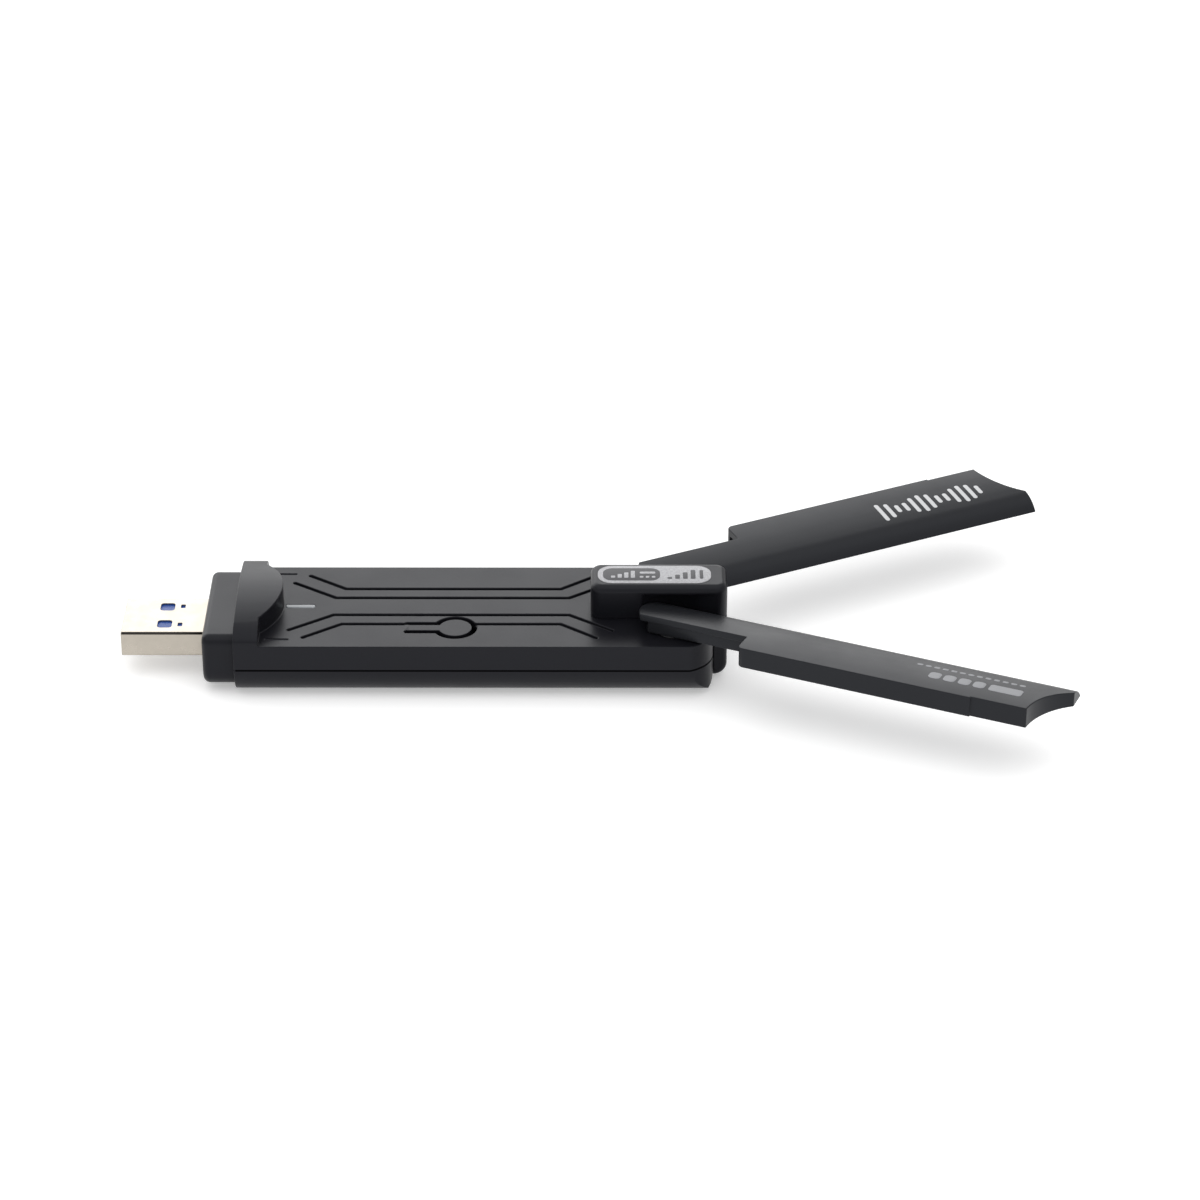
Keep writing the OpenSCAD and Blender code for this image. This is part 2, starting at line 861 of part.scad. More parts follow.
module wps_button()
    color(black)
        union() {
            post(button_at, button_d / 2, top - deck, top);
            box(
                [arm_x, button_at[0]],
                [button_at[1] - arm_w / 2, button_at[1] + arm_w / 2],
                [top - deck, top]
            );
            post(button_at, 1, switch_top + 0.95, top - deck + 0.1);
        }

module coax_sockets()
    color(gold)
        both_sides()
            difference() {
                union() {
                    box([socket_x - 1.3, socket_x + 1.3], [pivot_y - 1.3, pivot_y + 1.3], [pcb_top, pcb_top + 0.35]);
                    post([socket_x, pivot_y], 1, pcb_top, pcb_top + 1.2);
                }
                post([socket_x, pivot_y], 0.8, pcb_top + 0.35, pcb_top + 2);
            }

module coax_plugs()
    color(gold)
        both_sides()
            difference() {
                union() {
                    post([socket_x, pivot_y], 1.3, pcb_top + 0.4, pcb_top + 1.6);
                    box([socket_x, socket_x + 2], [pivot_y - 0.65, pivot_y + 0.65], [pcb_top + 0.6, pcb_top + 1.6]);
                }
                post([socket_x, pivot_y], 1.02, pcb_top, pcb_top + 1.3);
                along_x(socket_x + 1.2, socket_x + 4)
                    translate([pivot_y, pcb_top + 1.1])
                        circle(coax_r);
            }

// Coax from a board plug to the foot of the hinge barrel, ending on the hinge axis.
module board_lead()
    color([0.12, 0.12, 0.13])
        union() {
            along_x(socket_x + 1.2, pivot_x - 1)
                translate([pivot_y, pcb_top + 1.1])
                    circle(coax_r);
            coax_bend(pcb_top + 2.1, -1);
            post([pivot_x, pivot_y], coax_r, pcb_top + 2.1, pcb_top + 2.2);
        }

module lead_far()
    board_lead();

module lead_near()
    mirror([0, 1, 0])
        board_lead();

// Quarter bend of coax beside a hinge axis: side 1 comes from above, side -1 from below.
module coax_bend(z, side)
    translate([pivot_x - 1, pivot_y, z])
        rotate([90, 0, 0])
            rotate([0, 0, side > 0 ? 0 : -90])
                rotate_extrude(angle = 90)
                    translate([1, 0])
                        circle(coax_r);

// ---------- antennas, drawn folded on the far side ----------

// Plan of an antenna: straight blade, stepped root and concave tip.
module antenna_plan(inset)
    difference() {
        union() {
            rect([tip_x + inset, root_x - inset - 1], [blade_in + inset, half_w - inset]);
            rect([root_x - 5, root_x - inset], [blade_in + inset + 1, half_w - inset]);
            translate([root_x - inset - 1, blade_in + inset + 1])
                circle(1);
            rect([root_x - 3, pivot_x], [root_in + inset, half_w - inset]);
            intersection() {
                translate([pivot_x, pivot_y])
                    circle(root_r - inset);
                rect([pivot_x - 1, pivot_x + 9], [root_in + inset, half_w - inset]);
            }
        }
        translate([tip_cx, 0])
            circle(tip_r + inset);
        rect([blade_x - 1, finger_x], [-1, blade_in + finger + inset]);
    }

// The antenna as one solid under its dome.
module antenna_solid(z0, z1)
    intersection() {
        prism(z0, z1)
            antenna_plan(0);
        along_x(blade_x - 1, pivot_x + 8)
            crown(0);
    }

// The space under the cover at the root, open to the inner side and the root's end.
module root_space()
    intersection() {
        union() {
            box([root_x, pivot_x + 9], [0, half_w - 1.3], [ant_z - 1, seam_z]);
            box(
                [root_x - ant_wall, root_x + 1],
                [root_in + 0.45, half_w - 1.3],
                [ant_z - 1, seam_z]
            );
        }
        along_x(root_x - 3, pivot_x + 10)
            crown(1.2);
    }

// Plan of the hinge block, set back under the cover's edge.
module root_block() {
    y0 = root_in + 0.45;
    rect([root_x - ant_wall, pivot_x], [y0, half_w - 1.3]);
    intersection() {
        translate([pivot_x, pivot_y])
            circle(root_r - 1.3);
        rect([pivot_x - 1, pivot_x + 9], [y0, half_w - 1.3]);
    }
}

module cover()
    color(black)
        difference() {
            antenna_solid(ant_z, top + crown_h + 1);
            intersection() {
                prism(ant_z - 1, top + crown_h)
                    antenna_plan(ant_wall);
                along_x(blade_x, pivot_x + 8)
                    crown(ant_wall);
                box([blade_x, root_x], [0, 20], [0, 30]);
            }
            root_space();
            box([root_x - 0.45, root_x + 1], [1.7, 3.5], [ant_z + 0.9, ant_z + 2.3]);
        }

module base()
    color(black)
        difference() {
            union() {
                intersection() {
                    prism(ant_z, seam_z + 1)
                        root_block();
                    root_space();
                }
                intersection() {
                    prism(ant_z, ant_z + 0.75)
                        antenna_plan(ant_wall + 0.05);
                    box([blade_x, root_x], [0, half_w - 2.1], [0, 30]);
                }
                groove([-30.4, 11.15], [-29.4, 11.15], 0.5, ant_z - 0.25, ant_z + 0.1);
                post([pivot_x, pivot_y], barrel_r, top - 3.6, ant_z + 0.1);
                post([pivot_x, pivot_y], 1.8, top - 4.1, top - 3.5);
                post([pivot_x, pivot_y], barrel_r, top - 4.3, top - 4.05);
            }
            post([pivot_x, pivot_y], 1, top - 5, ant_z + 3);
            box([root_x - 3, pivot_x + 0.6], [pivot_y - 0.6, pivot_y + 0.6], [ant_z + 0.75, seam_z + 1]);
        }

module board()
    color([0.05, 0.3, 0.16])
        prism(ant_z + 0.8, ant_z + 1.3)
            soft_rect([blade_x + 9, root_x - 4.7], [2.2, 8.4], 0.5);

// Printed dipole: a feed line, two folded arms and a ground bar.
module trace()
    color(copper) {
        x0 = blade_x + 10;
        x1 = root_x - 5.2;
        box([x0, x1], [5, 5.6], [ant_z + 1.3, ant_z + 1.35]);
        box([x0, x0 + 0.8], [2.8, 7.8], [ant_z + 1.3, ant_z + 1.35]);
        for (y = [2.8, 7])
            box([x0, x0 + 16], [y, y + 0.8], [ant_z + 1.3, ant_z + 1.35]);
        box([x1 - 14, x1 - 2], [2.8, 4.4], [ant_z + 1.3, ant_z + 1.35]);
        box([x1 - 14, x1 - 2], [6.2, 7.2], [ant_z + 1.3, ant_z + 1.35]);
    }

// Coax from the antenna board down through the hollow barrel, ending on the hinge axis.
module tail()
    color([0.12, 0.12, 0.13])
        union() {
            along_x(root_x - 4.6, pivot_x - 1)
                translate([pivot_y, coax_z])
                    circle(coax_r);
            coax_bend(coax_z - 1, 1);
            post([pivot_x, pivot_y], coax_r, pcb_top + 2.25, coax_z - 1);
        }

module spring_washer()
    color(steel)
        ring([pivot_x, pivot_y], 3.1, barrel_r + 0.08, top - 3.5, boss_z - 0.05);

module clip()
    color([0.3, 0.3, 0.32])
        difference() {
            ring([pivot_x, pivot_y], 3, 1.84, top - 4, top - 3.65);
            box([pivot_x, pivot_x + 4], [pivot_y - 1.2, pivot_y + 1.2], [top - 5, top - 3]);
        }

module near_cover()
    open_near()
        cover();

module near_base()
    open_near()
        base();

module near_board()
    open_near()
        board();

module near_trace()
    open_near()
        trace();

module near_tail()
    open_near()
        tail();

module near_washer()
    open_near()
        spring_washer();

module near_clip()
    open_near()
        clip();

module far_cover()
    open_far()
        cover();

module far_base()
    open_far()
        base();

module far_board()
    open_far()
        board();

module far_trace()
    open_far()
        trace();

module far_tail()
    open_far()
        tail();

module far_washer()
    open_far()
        spring_washer();

module far_clip()
    open_far()
        clip();

// ---------- nodes ----------

top_shell();
bottom_shell();
front_collar();
hinge_bridge();
label_plate();
label_print();
bridge_screws();
thrust_washers();
usb_shell();
usb_insulator();
usb_contacts();
usb_ss_contacts();
circuit_board();
shield_frame();
shield_lid();
wifi_chip();
thermal_pad();
power_regulator();
power_inductor();
crystal();
flash_chip();
smd_capacitors();
smd_resistors();
status_led();
light_pipe();
switch_base();
coax_sockets();
coax_plugs();
lead_near();
lead_far();
wps_button();
switch_plunger();
near_cover();
near_base();
near_board();
near_trace();
near_tail();
near_washer();
near_clip();
far_cover();
far_base();
far_board();
far_trace();
far_tail();
far_washer();
far_clip();
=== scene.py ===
"""Looks of a USB Wi-Fi adapter: housing, metal plug, hinge bridge and two swing-out antennas.

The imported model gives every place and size. The operators below finish its parts, add the
pieces that need curved or rounded surfaces, and set up a plain stage.
"""
import json
import math

import bpy
import numpy as np
from bpy.props import FloatProperty, FloatVectorProperty, IntProperty, PointerProperty
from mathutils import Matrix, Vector


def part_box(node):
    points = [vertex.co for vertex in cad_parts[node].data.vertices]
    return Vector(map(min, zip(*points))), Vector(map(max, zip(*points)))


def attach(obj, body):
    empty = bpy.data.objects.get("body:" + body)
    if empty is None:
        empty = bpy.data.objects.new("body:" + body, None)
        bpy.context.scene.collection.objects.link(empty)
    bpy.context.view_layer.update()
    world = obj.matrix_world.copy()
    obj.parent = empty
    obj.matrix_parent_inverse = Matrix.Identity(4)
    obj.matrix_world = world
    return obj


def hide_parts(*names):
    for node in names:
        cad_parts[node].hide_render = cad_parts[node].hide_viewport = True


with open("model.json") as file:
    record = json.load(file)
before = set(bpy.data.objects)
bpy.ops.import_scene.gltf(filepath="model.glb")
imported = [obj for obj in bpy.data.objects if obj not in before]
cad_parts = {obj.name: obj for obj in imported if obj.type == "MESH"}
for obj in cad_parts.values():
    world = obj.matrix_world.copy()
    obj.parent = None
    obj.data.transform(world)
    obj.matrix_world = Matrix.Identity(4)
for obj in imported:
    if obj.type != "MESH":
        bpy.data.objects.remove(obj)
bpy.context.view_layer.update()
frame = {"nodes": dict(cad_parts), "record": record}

bl_info = {
    "name": "USB Wi-Fi Adapter",
    "version": (1, 0, 0),
    "blender": (4, 5, 0),
    "location": "View3D > Sidebar > Adapter",
    "description": "Finishes a two-antenna USB Wi-Fi adapter part by part and sets its stage",
    "category": "Object",
}

MM = 0.001

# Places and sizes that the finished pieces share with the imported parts, in millimetres.
PARTING_HEIGHT = 5.65
CORNER_RADIUS = 6.2
CORNER_MIDDLE = 7.9
PLUG_HEIGHT = 4.5
CROWN_RADIUS = 50.0
NEAR_ANGLE, FAR_ANGLE = 23.5, 26.5


def box(name):
    """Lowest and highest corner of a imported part, in millimetres."""
    return np.array(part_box(name)) / MM


def hinge(side):
    """Place of the near or far antenna's hinge, in millimetres."""
    joint = next(j for j in frame["record"]["behaviour"]["joints"] if j["name"].startswith(side))
    return np.array(joint["pos_m"]) / MM


def hex_linear(code):
    """Linear colour of an sRGB hex value: each channel's sRGB curve undone."""
    value = np.array([(code >> 16) & 255, (code >> 8) & 255, code & 255]) / 255.0
    linear = np.where(value <= 0.04045, value / 12.92, ((value + 0.055) / 1.055) ** 2.4)
    return tuple(float(channel) for channel in linear)


# ---------------------------------------------------------------- surfaces


def rounded_outline(x0, x1, y0, y1, low, high, arc=8, run=5, outer=None):
    """Closed outline of a box: four quarter circles of radius low (at y0) and high (at y1),
    joined by straight runs, with the same count of points whatever its size. The corner at
    x1, y0 may have its own radius, outer."""
    first = low if outer is None else outer
    centres = np.array([[x1 - first, y0 + first], [x1 - high, y1 - high],
                        [x0 + high, y1 - high], [x0 + low, y0 + low]])
    radii = np.array([first, high, high, low])
    turn = np.radians(np.linspace(-90.0, 0.0, arc + 1)[None, :] + 90.0 * np.arange(4)[:, None])
    arcs = centres[:, None, :] + radii[:, None, None] * np.stack([np.cos(turn), np.sin(turn)], -1)
    share = (np.arange(1, run + 1) / (run + 1))[None, :, None]
    runs = arcs[:, -1:, :] * (1 - share) + np.roll(arcs, -1, axis=0)[:, :1, :] * share
    return np.concatenate([arcs, runs], axis=1).reshape(-1, 2)


def quarter_round(edge, steps):
    """Inward shift e (1 - cos t) and rise e sin t at each step over a rounded edge of radius e."""
    turn = np.radians(np.linspace(0, 90, steps))
    return edge * (1 - np.cos(turn)), edge * np.sin(turn)


def upright(plan, heights):
    """Rings of one flat outline, one at each height."""
    return np.stack([np.column_stack([plan, np.full(len(plan), z)]) for z in heights])


def along_x(rings, places):
    """Rings of outlines in the y-z plane, each at its own place along the housing."""
    outlines = np.stack(rings)
    across = np.broadcast_to(np.array(places)[:, None, None], outlines.shape[:2] + (1,))
    return np.concatenate([across, outlines], -1)


def carry(outlines, closed=False):
    """Surface of a profile carried along a path: ring i is joined to ring i + 1 by quads.
    A closed path joins its last ring to the first; an open one gets a flat cap on each end.
    The faces are turned outwards by the sign of the enclosed volume."""
    rings, count = outlines.shape[:2]
    points = outlines.reshape(-1, 3)
    steps = rings if closed else rings - 1
    i, j = np.meshgrid(np.arange(steps), np.arange(count), indexing="ij")
    k, n = (i + 1) % rings, (j + 1) % count
    quads = np.stack([i * count + j, i * count + n, k * count + n, k * count + j], -1).reshape(-1, 4)
    centre = points.mean(axis=0)
    a, b, c, d = (points[quads[:, side]] - centre for side in range(4))
    volume = (np.einsum("ij,ij->i", np.cross(a, b), c) + np.einsum("ij,ij->i", np.cross(a, c), d)).sum()
    faces = quads.tolist()
    if not closed:
        faces.append(np.arange(count)[::-1].tolist())
        faces.append((np.arange(count) + (rings - 1) * count).tolist())
    if volume < 0:
        faces = [face[::-1] for face in faces]
    return points, faces


def joined(solids):
    """One set of points and faces from several, with each one's point numbers moved along."""
    starts = np.cumsum([0] + [len(points) for points, _ in solids])
    faces = [[int(v + start) for v in face] for start, (_, part) in zip(starts, solids) for face in part]
    return np.concatenate([points for points, _ in solids]), faces


def slab(outline, z0, z1, edge):
    """Flat plate of an outline between two heights: the upper edge is a quarter round that
    moves the outline inwards by edge * (1 - cos t) while it rises by edge * sin t."""
    middle = (outline.min(axis=0) + outline.max(axis=0)) / 2
    half = (outline.max(axis=0) - outline.min(axis=0)) / 2
    inward, rise = quarter_round(edge, 5)
    inward = np.concatenate([[0], inward])
    height = np.concatenate([[z0], z1 - edge + rise])
    scale = 1 - inward[:, None] / half[None, :]
    rings = middle + (outline - middle)[None] * scale[:, None, :]
    level = np.broadcast_to(height[:, None, None], rings.shape[:2] + (1,))
    return carry(np.concatenate([rings, level], -1))


def new_piece(name, solid, body, material, node=None):
    """Makes the mesh of a piece, with its place in the mesh, and hangs it on its body."""
    points, faces = solid
    mesh = bpy.data.meshes.new(name)
    mesh.from_pydata((np.asarray(points) * MM).tolist(), [], faces)
    mesh.validate()
    mesh.polygons.foreach_set("use_smooth", np.ones(len(mesh.polygons), dtype=bool))
    mesh.materials.append(material)
    piece = bpy.data.objects.new(name, mesh)
    bpy.context.scene.collection.objects.link(piece)
    if body:
        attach(piece, body)
    if node:
        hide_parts(node)
    return piece


def cut(piece, cutters):
    """Takes the cutters out of a piece, keeps the result as its mesh and drops the cutters."""
    for cutter in cutters:
        step = piece.modifiers.new("cut", "BOOLEAN")
        step.operation = "DIFFERENCE"
        step.solver = "EXACT"
        step.object = cutter
    view = bpy.context.evaluated_depsgraph_get()
    result = bpy.data.meshes.new_from_object(piece.evaluated_get(view))
    piece.modifiers.clear()
    piece.data = result
    for cutter in cutters:
        bpy.data.objects.remove(cutter)


def soften(piece, width, angle=35.0, segments=3):
    """Rounds every edge sharper than the angle, and keeps the flat faces' shading flat."""
    bevel = piece.modifiers.new("rounded edges", "BEVEL")
    bevel.width = width * MM
    bevel.segments = segments
    bevel.limit_method = "ANGLE"
    bevel.angle_limit = math.radians(angle)
    bevel.use_clamp_overlap = False
    shade = piece.modifiers.new("flat faces", "WEIGHTED_NORMAL")
    shade.keep_sharp = True


def finish_node(name, material, edge=0.0):
    """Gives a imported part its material; with an edge radius, also joins its loose triangles,
    clears the flat faces' inner edges and rounds the sharp ones."""
    part = frame["nodes"][name]
    part.data.materials.clear()
    part.data.materials.append(material)
    part.data.polygons.foreach_set("use_smooth", np.ones(len(part.data.polygons), dtype=bool))
    weld = part.modifiers.new("joined", "WELD")
    weld.merge_threshold = 2e-6
    flat = part.modifiers.new("flat faces", "DECIMATE")
    flat.decimate_type = "DISSOLVE"
    flat.angle_limit = math.radians(0.8)
    if edge:
        soften(part, edge, 38.0)
    else:
        shade = part.modifiers.new("shading", "WEIGHTED_NORMAL")
        shade.keep_sharp = True
    return part


# ---------------------------------------------------------------- materials


def add(tree, kind, values=None, links=None, **settings):
    """Adds a shader node, sets its properties and socket values, and links its inputs."""
    made = tree.nodes.new(kind)
    for key, value in settings.items():
        setattr(made, key, value)
    for socket, value in (values or {}).items():
        made.inputs[socket].default_value = value
    for socket, source in (links or {}).items():
        tree.links.new(source, made.inputs[socket])
    return made


def blank(name, colour, roughness, metallic=0.0, specular=0.5, ior=1.5):
    """A material with one Principled shader, its constants set on the shader's own sockets."""
    material = bpy.data.materials.new(name)
    material.use_nodes = True
    tree = material.node_tree
    shader = tree.nodes["Principled BSDF"]
    shader.inputs["Base Color"].default_value = (*colour, 1.0)
    shader.inputs["Roughness"].default_value = roughness
    shader.inputs["Metallic"].default_value = metallic
    shader.inputs["Specular IOR Level"].default_value = specular
    if not metallic:
        shader.inputs["IOR"].default_value = ior
    place = add(tree, "ShaderNodeTexCoord").outputs["Object"]
    return material, tree, shader, place


def textured_abs(name, colour, look):
    """Injection-moulded ABS from a spark-eroded mould: a very fine even grain that breaks up
    reflections, slow changes in sheen where hands touch it, and a few pale dust specks."""
    material, tree, shader, place = blank(name, colour, look.abs_roughness, 0.0, look.abs_specular, 1.53)
    shader.inputs["Specular Tint"].default_value = (0.9, 0.93, 1.0, 1.0)
    # Spark erosion leaves grains of about 0.03 mm; drawn at 0.14 mm so that they show.
    grain = add(tree, "ShaderNodeTexNoise", {"Scale": 1 / (0.14 * MM), "Detail": 2.0, "Roughness": 0.6},
                {"Vector": place})
    wave = add(tree, "ShaderNodeTexNoise", {"Scale": 1 / (9 * MM), "Detail": 3.0, "Roughness": 0.55},
               {"Vector": place})
    sheen = add(tree, "ShaderNodeMapRange",
                {"From Min": 0.3, "From Max": 0.7, "To Min": look.abs_roughness - 0.03,
                 "To Max": look.abs_roughness + 0.04}, {"Value": wave.outputs["Fac"]})
    fine = add(tree, "ShaderNodeMapRange",
               {"From Min": 0.3, "From Max": 0.7, "To Min": -0.03, "To Max": 0.03},
               {"Value": grain.outputs["Fac"]})
    rough = add(tree, "ShaderNodeMath", None,
                {0: sheen.outputs["Result"], 1: fine.outputs["Result"]}, operation="ADD")
    # Dust: one speck of about 0.12 mm in each cell of 11 mm.
    cells = add(tree, "ShaderNodeTexVoronoi", {"Scale": 1 / (11 * MM), "Randomness": 1.0}, {"Vector": place})
    speck = add(tree, "ShaderNodeMath", {1: 0.009}, {0: cells.outputs["Distance"]}, operation="LESS_THAN")
    tint = add(tree, "ShaderNodeMix", {"A": (*colour, 1.0), "B": (*hex_linear(0x8A8A86), 1.0)},
               data_type="RGBA")
    tree.links.new(speck.outputs[0], tint.inputs["Factor"])
    bump = add(tree, "ShaderNodeBump", {"Strength": 0.12, "Distance": 0.012 * MM},
               {"Height": grain.outputs["Fac"]})
    tree.links.new(rough.outputs[0], shader.inputs["Roughness"])
    tree.links.new(tint.outputs["Result"], shader.inputs["Base Color"])
    tree.links.new(bump.outputs["Normal"], shader.inputs["Normal"])
    return material


def nickel_plate(name, look):
    """Drawn steel with bright nickel: warm pale metal, with faint rolling lines along the sheet
    and small cloudy stains."""
    colour = tuple(look.nickel)
    material, tree, shader, place = blank(name, colour, 0.3, 1.0)
    # Rolling lines are about 0.02 mm apart; drawn at 0.09 mm so that they show.
    stretch = add(tree, "ShaderNodeMapping", {"Scale": (0.04, 1.0, 1.0)}, {"Vector": place})
    lines = add(tree, "ShaderNodeTexNoise", {"Scale": 1 / (0.09 * MM), "Detail": 2.0},
                {"Vector": stretch.outputs["Vector"]})
    cloud = add(tree, "ShaderNodeTexNoise", {"Scale": 1 / (3 * MM), "Detail": 4.0, "Roughness": 0.65},
                {"Vector": place})
    rough = add(tree, "ShaderNodeMapRange",
                {"From Min": 0.35, "From Max": 0.65, "To Min": 0.24, "To Max": 0.36},
                {"Value": cloud.outputs["Fac"]})
    tone = add(tree, "ShaderNodeMix",
               {"A": (*colour, 1.0), "B": (*(0.86 * np.array(colour)), 1.0)}, data_type="RGBA")
    tree.links.new(cloud.outputs["Fac"], tone.inputs["Factor"])
    bump = add(tree, "ShaderNodeBump", {"Strength": 0.08, "Distance": 0.004 * MM},
               {"Height": lines.outputs["Fac"]})
    tree.links.new(rough.outputs["Result"], shader.inputs["Roughness"])
    tree.links.new(tone.outputs["Result"], shader.inputs["Base Color"])
    tree.links.new(bump.outputs["Normal"], shader.inputs["Normal"])
    return material


def metallised_film(name, look):
    """Polyester label with a vapour-deposited silver coat under a matt varnish: pale grey that
    glitters in fine specks."""
    colour = tuple(look.label)
    material, tree, shader, place = blank(name, colour, 0.45, 0.35)
    # The varnish grain is about 0.05 mm; drawn at 0.12 mm so that it shows.
    speck = add(tree, "ShaderNodeTexVoronoi", {"Scale": 1 / (0.12 * MM)}, {"Vector": place})
    tone = add(tree, "ShaderNodeMix",
               {"A": (*(0.62 * np.array(colour)), 1.0), "B": (*(1.25 * np.array(colour)), 1.0)},
               data_type="RGBA")
    tree.links.new(speck.outputs["Color"], tone.inputs["Factor"])
    bump = add(tree, "ShaderNodeBump", {"Strength": 0.15, "Distance": 0.01 * MM},
               {"Height": speck.outputs["Distance"]})
    tree.links.new(tone.outputs["Result"], shader.inputs["Base Color"])
    tree.links.new(bump.outputs["Normal"], shader.inputs["Normal"])
    return material


def solder_mask(name, look):
    """Glass-epoxy board under green solder mask: glossy, with lighter copper tracks showing
    through as fine straight lines."""
    colour = tuple(look.board)
    material, tree, shader, place = blank(name, colour, 0.28, 0.0, 0.5, 1.55)
    brick = add(tree, "ShaderNodeTexBrick",
                {"Scale": 1 / (3.2 * MM), "Mortar Size": 0.05, "Brick Width": 1.4, "Row Height": 0.22,
                 "Color1": (*colour, 1.0), "Color2": (*(1.15 * np.array(colour)), 1.0),
                 "Mortar": (*(1.9 * np.array(colour)), 1.0)}, {"Vector": place})
    bump = add(tree, "ShaderNodeBump", {"Strength": 0.2, "Distance": 0.02 * MM},
               {"Height": brick.outputs["Fac"]})
    tree.links.new(brick.outputs["Color"], shader.inputs["Base Color"])
    tree.links.new(bump.outputs["Normal"], shader.inputs["Normal"])
    return material


def fine_grained(name, code, roughness, metallic, grain, spread, depth):
    """A one-colour finish with a grain of the given size in mm: noise moves the colour by the
    given share and the roughness by 0.05, and lifts the surface by the depth in mm."""
    colour = hex_linear(code)
    material, tree, shader, place = blank(name, colour, roughness, metallic)
    noise = add(tree, "ShaderNodeTexNoise", {"Scale": 1 / (grain * MM), "Detail": 3.0}, {"Vector": place})
    tone = add(tree, "ShaderNodeMix",
               {"A": (*((1 - spread) * np.array(colour)), 1.0),
                "B": (*np.minimum((1 + spread) * np.array(colour), 1.0), 1.0)}, data_type="RGBA")
    tree.links.new(noise.outputs["Fac"], tone.inputs["Factor"])
    rough = add(tree, "ShaderNodeMapRange",
                {"From Min": 0.3, "From Max": 0.7, "To Min": roughness - 0.05, "To Max": roughness + 0.05},
                {"Value": noise.outputs["Fac"]})
    bump = add(tree, "ShaderNodeBump", {"Strength": 0.2, "Distance": depth * MM},
               {"Height": noise.outputs["Fac"]})
    tree.links.new(tone.outputs["Result"], shader.inputs["Base Color"])
    tree.links.new(rough.outputs["Result"], shader.inputs["Roughness"])
    tree.links.new(bump.outputs["Normal"], shader.inputs["Normal"])
    return material


# Finish: colour, roughness, metallic, grain mm, colour spread, depth mm.
SMALL_FINISHES = {
    # Liquid crystal polymer, moulded: strong blue, slightly silky from its flow; set darker than the
    # polymer's own blue as painted shade for the insulator seen deep inside the latch windows.
    "moulded_blue_polymer": (0x164391, 0.38, 0.0, 0.5, 0.12, 0.01),
    # Brass with hard gold over nickel, stamped: warm and bright, with faint tool marks.
    "stamped_gold_plate": (0xE2B24C, 0.28, 1.0, 0.2, 0.08, 0.004),
    # Steel sheet with hot tin, pressed: grey-white with soft clouds.
    "pressed_tin_plate": (0xC9C9C4, 0.34, 1.0, 0.8, 0.1, 0.006),
    # Painted shade: a nearly black, dull colour on the strip along the shells' parting line, standing in for
    # the shadow deep in the gap between them.
    "painted_gap_shade": (0x060607, 0.8, 0.0, 0.2, 0.2, 0.004),
    # Steel edge where the plating is thin, tarnished: dark brown-grey and dull.
    "tarnished_seam": (0x2E2A26, 0.5, 0.6, 0.2, 0.3, 0.006),
    # Epoxy compound, transfer moulded: matt black with a fine filler grain.
    "moulded_epoxy": (0x1C1C1E, 0.55, 0.0, 0.08, 0.2, 0.006),
    # Silicone, cast sheet: soft blue-grey, dull and slightly dusty.
    "cast_silicone": (0x8C98A6, 0.7, 0.0, 0.3, 0.12, 0.02),
    # Ferrite, pressed and fired: dark grey with a dry grain.
    "fired_ferrite": (0x3A3A3E, 0.6, 0.0, 0.12, 0.25, 0.01),
    # Ceramic, fired: light brown body with a slight gloss.
    "fired_ceramic": (0xB58D5A, 0.4, 0.0, 0.15, 0.15, 0.004),
    # Clear epoxy over phosphor, cast: pale and glossy.
    "cast_led_resin": (0xE9ECD8, 0.2, 0.0, 0.3, 0.05, 0.002),
    # Nylon, moulded: mid grey with a faint bloom.
    "moulded_nylon": (0x6B6B6E, 0.5, 0.0, 0.2, 0.1, 0.008),
    # Nylon washer, stamped from black sheet: dull and dark.
    "stamped_nylon": (0x242427, 0.55, 0.0, 0.2, 0.1, 0.008),
    # Copper foil, etched: red-brown and slightly brushed.
    "etched_copper": (0xB5673C, 0.36, 1.0, 0.12, 0.12, 0.004),
    # Fluoropolymer jacket, extruded: black and waxy.
    "extruded_jacket": (0x18181A, 0.42, 0.0, 0.4, 0.15, 0.006),
    # Screen ink, dark grey: matt, with slightly uneven cover.
    "dark_screen_ink": (0x2B2B30, 0.5, 0.0, 0.15, 0.15, 0.004),
    # Pad-printed ink, mid grey: thin cover that lets the black through.
    "thin_pad_ink": (0x85868A, 0.5, 0.0, 0.1, 0.3, 0.004),
    # Pad-printed ink, pale grey: matt, with tiny gaps where the pad lifted.
    "pale_pad_ink": (0xC9CACC, 0.5, 0.0, 0.12, 0.12, 0.004),
    # Acrylic light guide, moulded and frosted: milky grey-white.
    "frosted_acrylic": (0x7E8286, 0.32, 0.0, 0.25, 0.06, 0.004),
}


def finish(name):
    """The named small finish, made once."""
    found = bpy.data.materials.get(name)
    return found or fine_grained(name, *SMALL_FINISHES[name])


def plastic(name):
    """The housing's or the antennas' black plastic, made once."""
    look = bpy.context.scene.adapter_looks
    colour = look.antenna_black if name == "antenna_abs_moulded" else look.housing_black
    return bpy.data.materials.get(name) or textured_abs(name, tuple(colour), look)


def solder(name):
    """A board's solder mask, made once."""
    return bpy.data.materials.get(name) or solder_mask(name, bpy.context.scene.adapter_looks)


# ---------------------------------------------------------------- settings


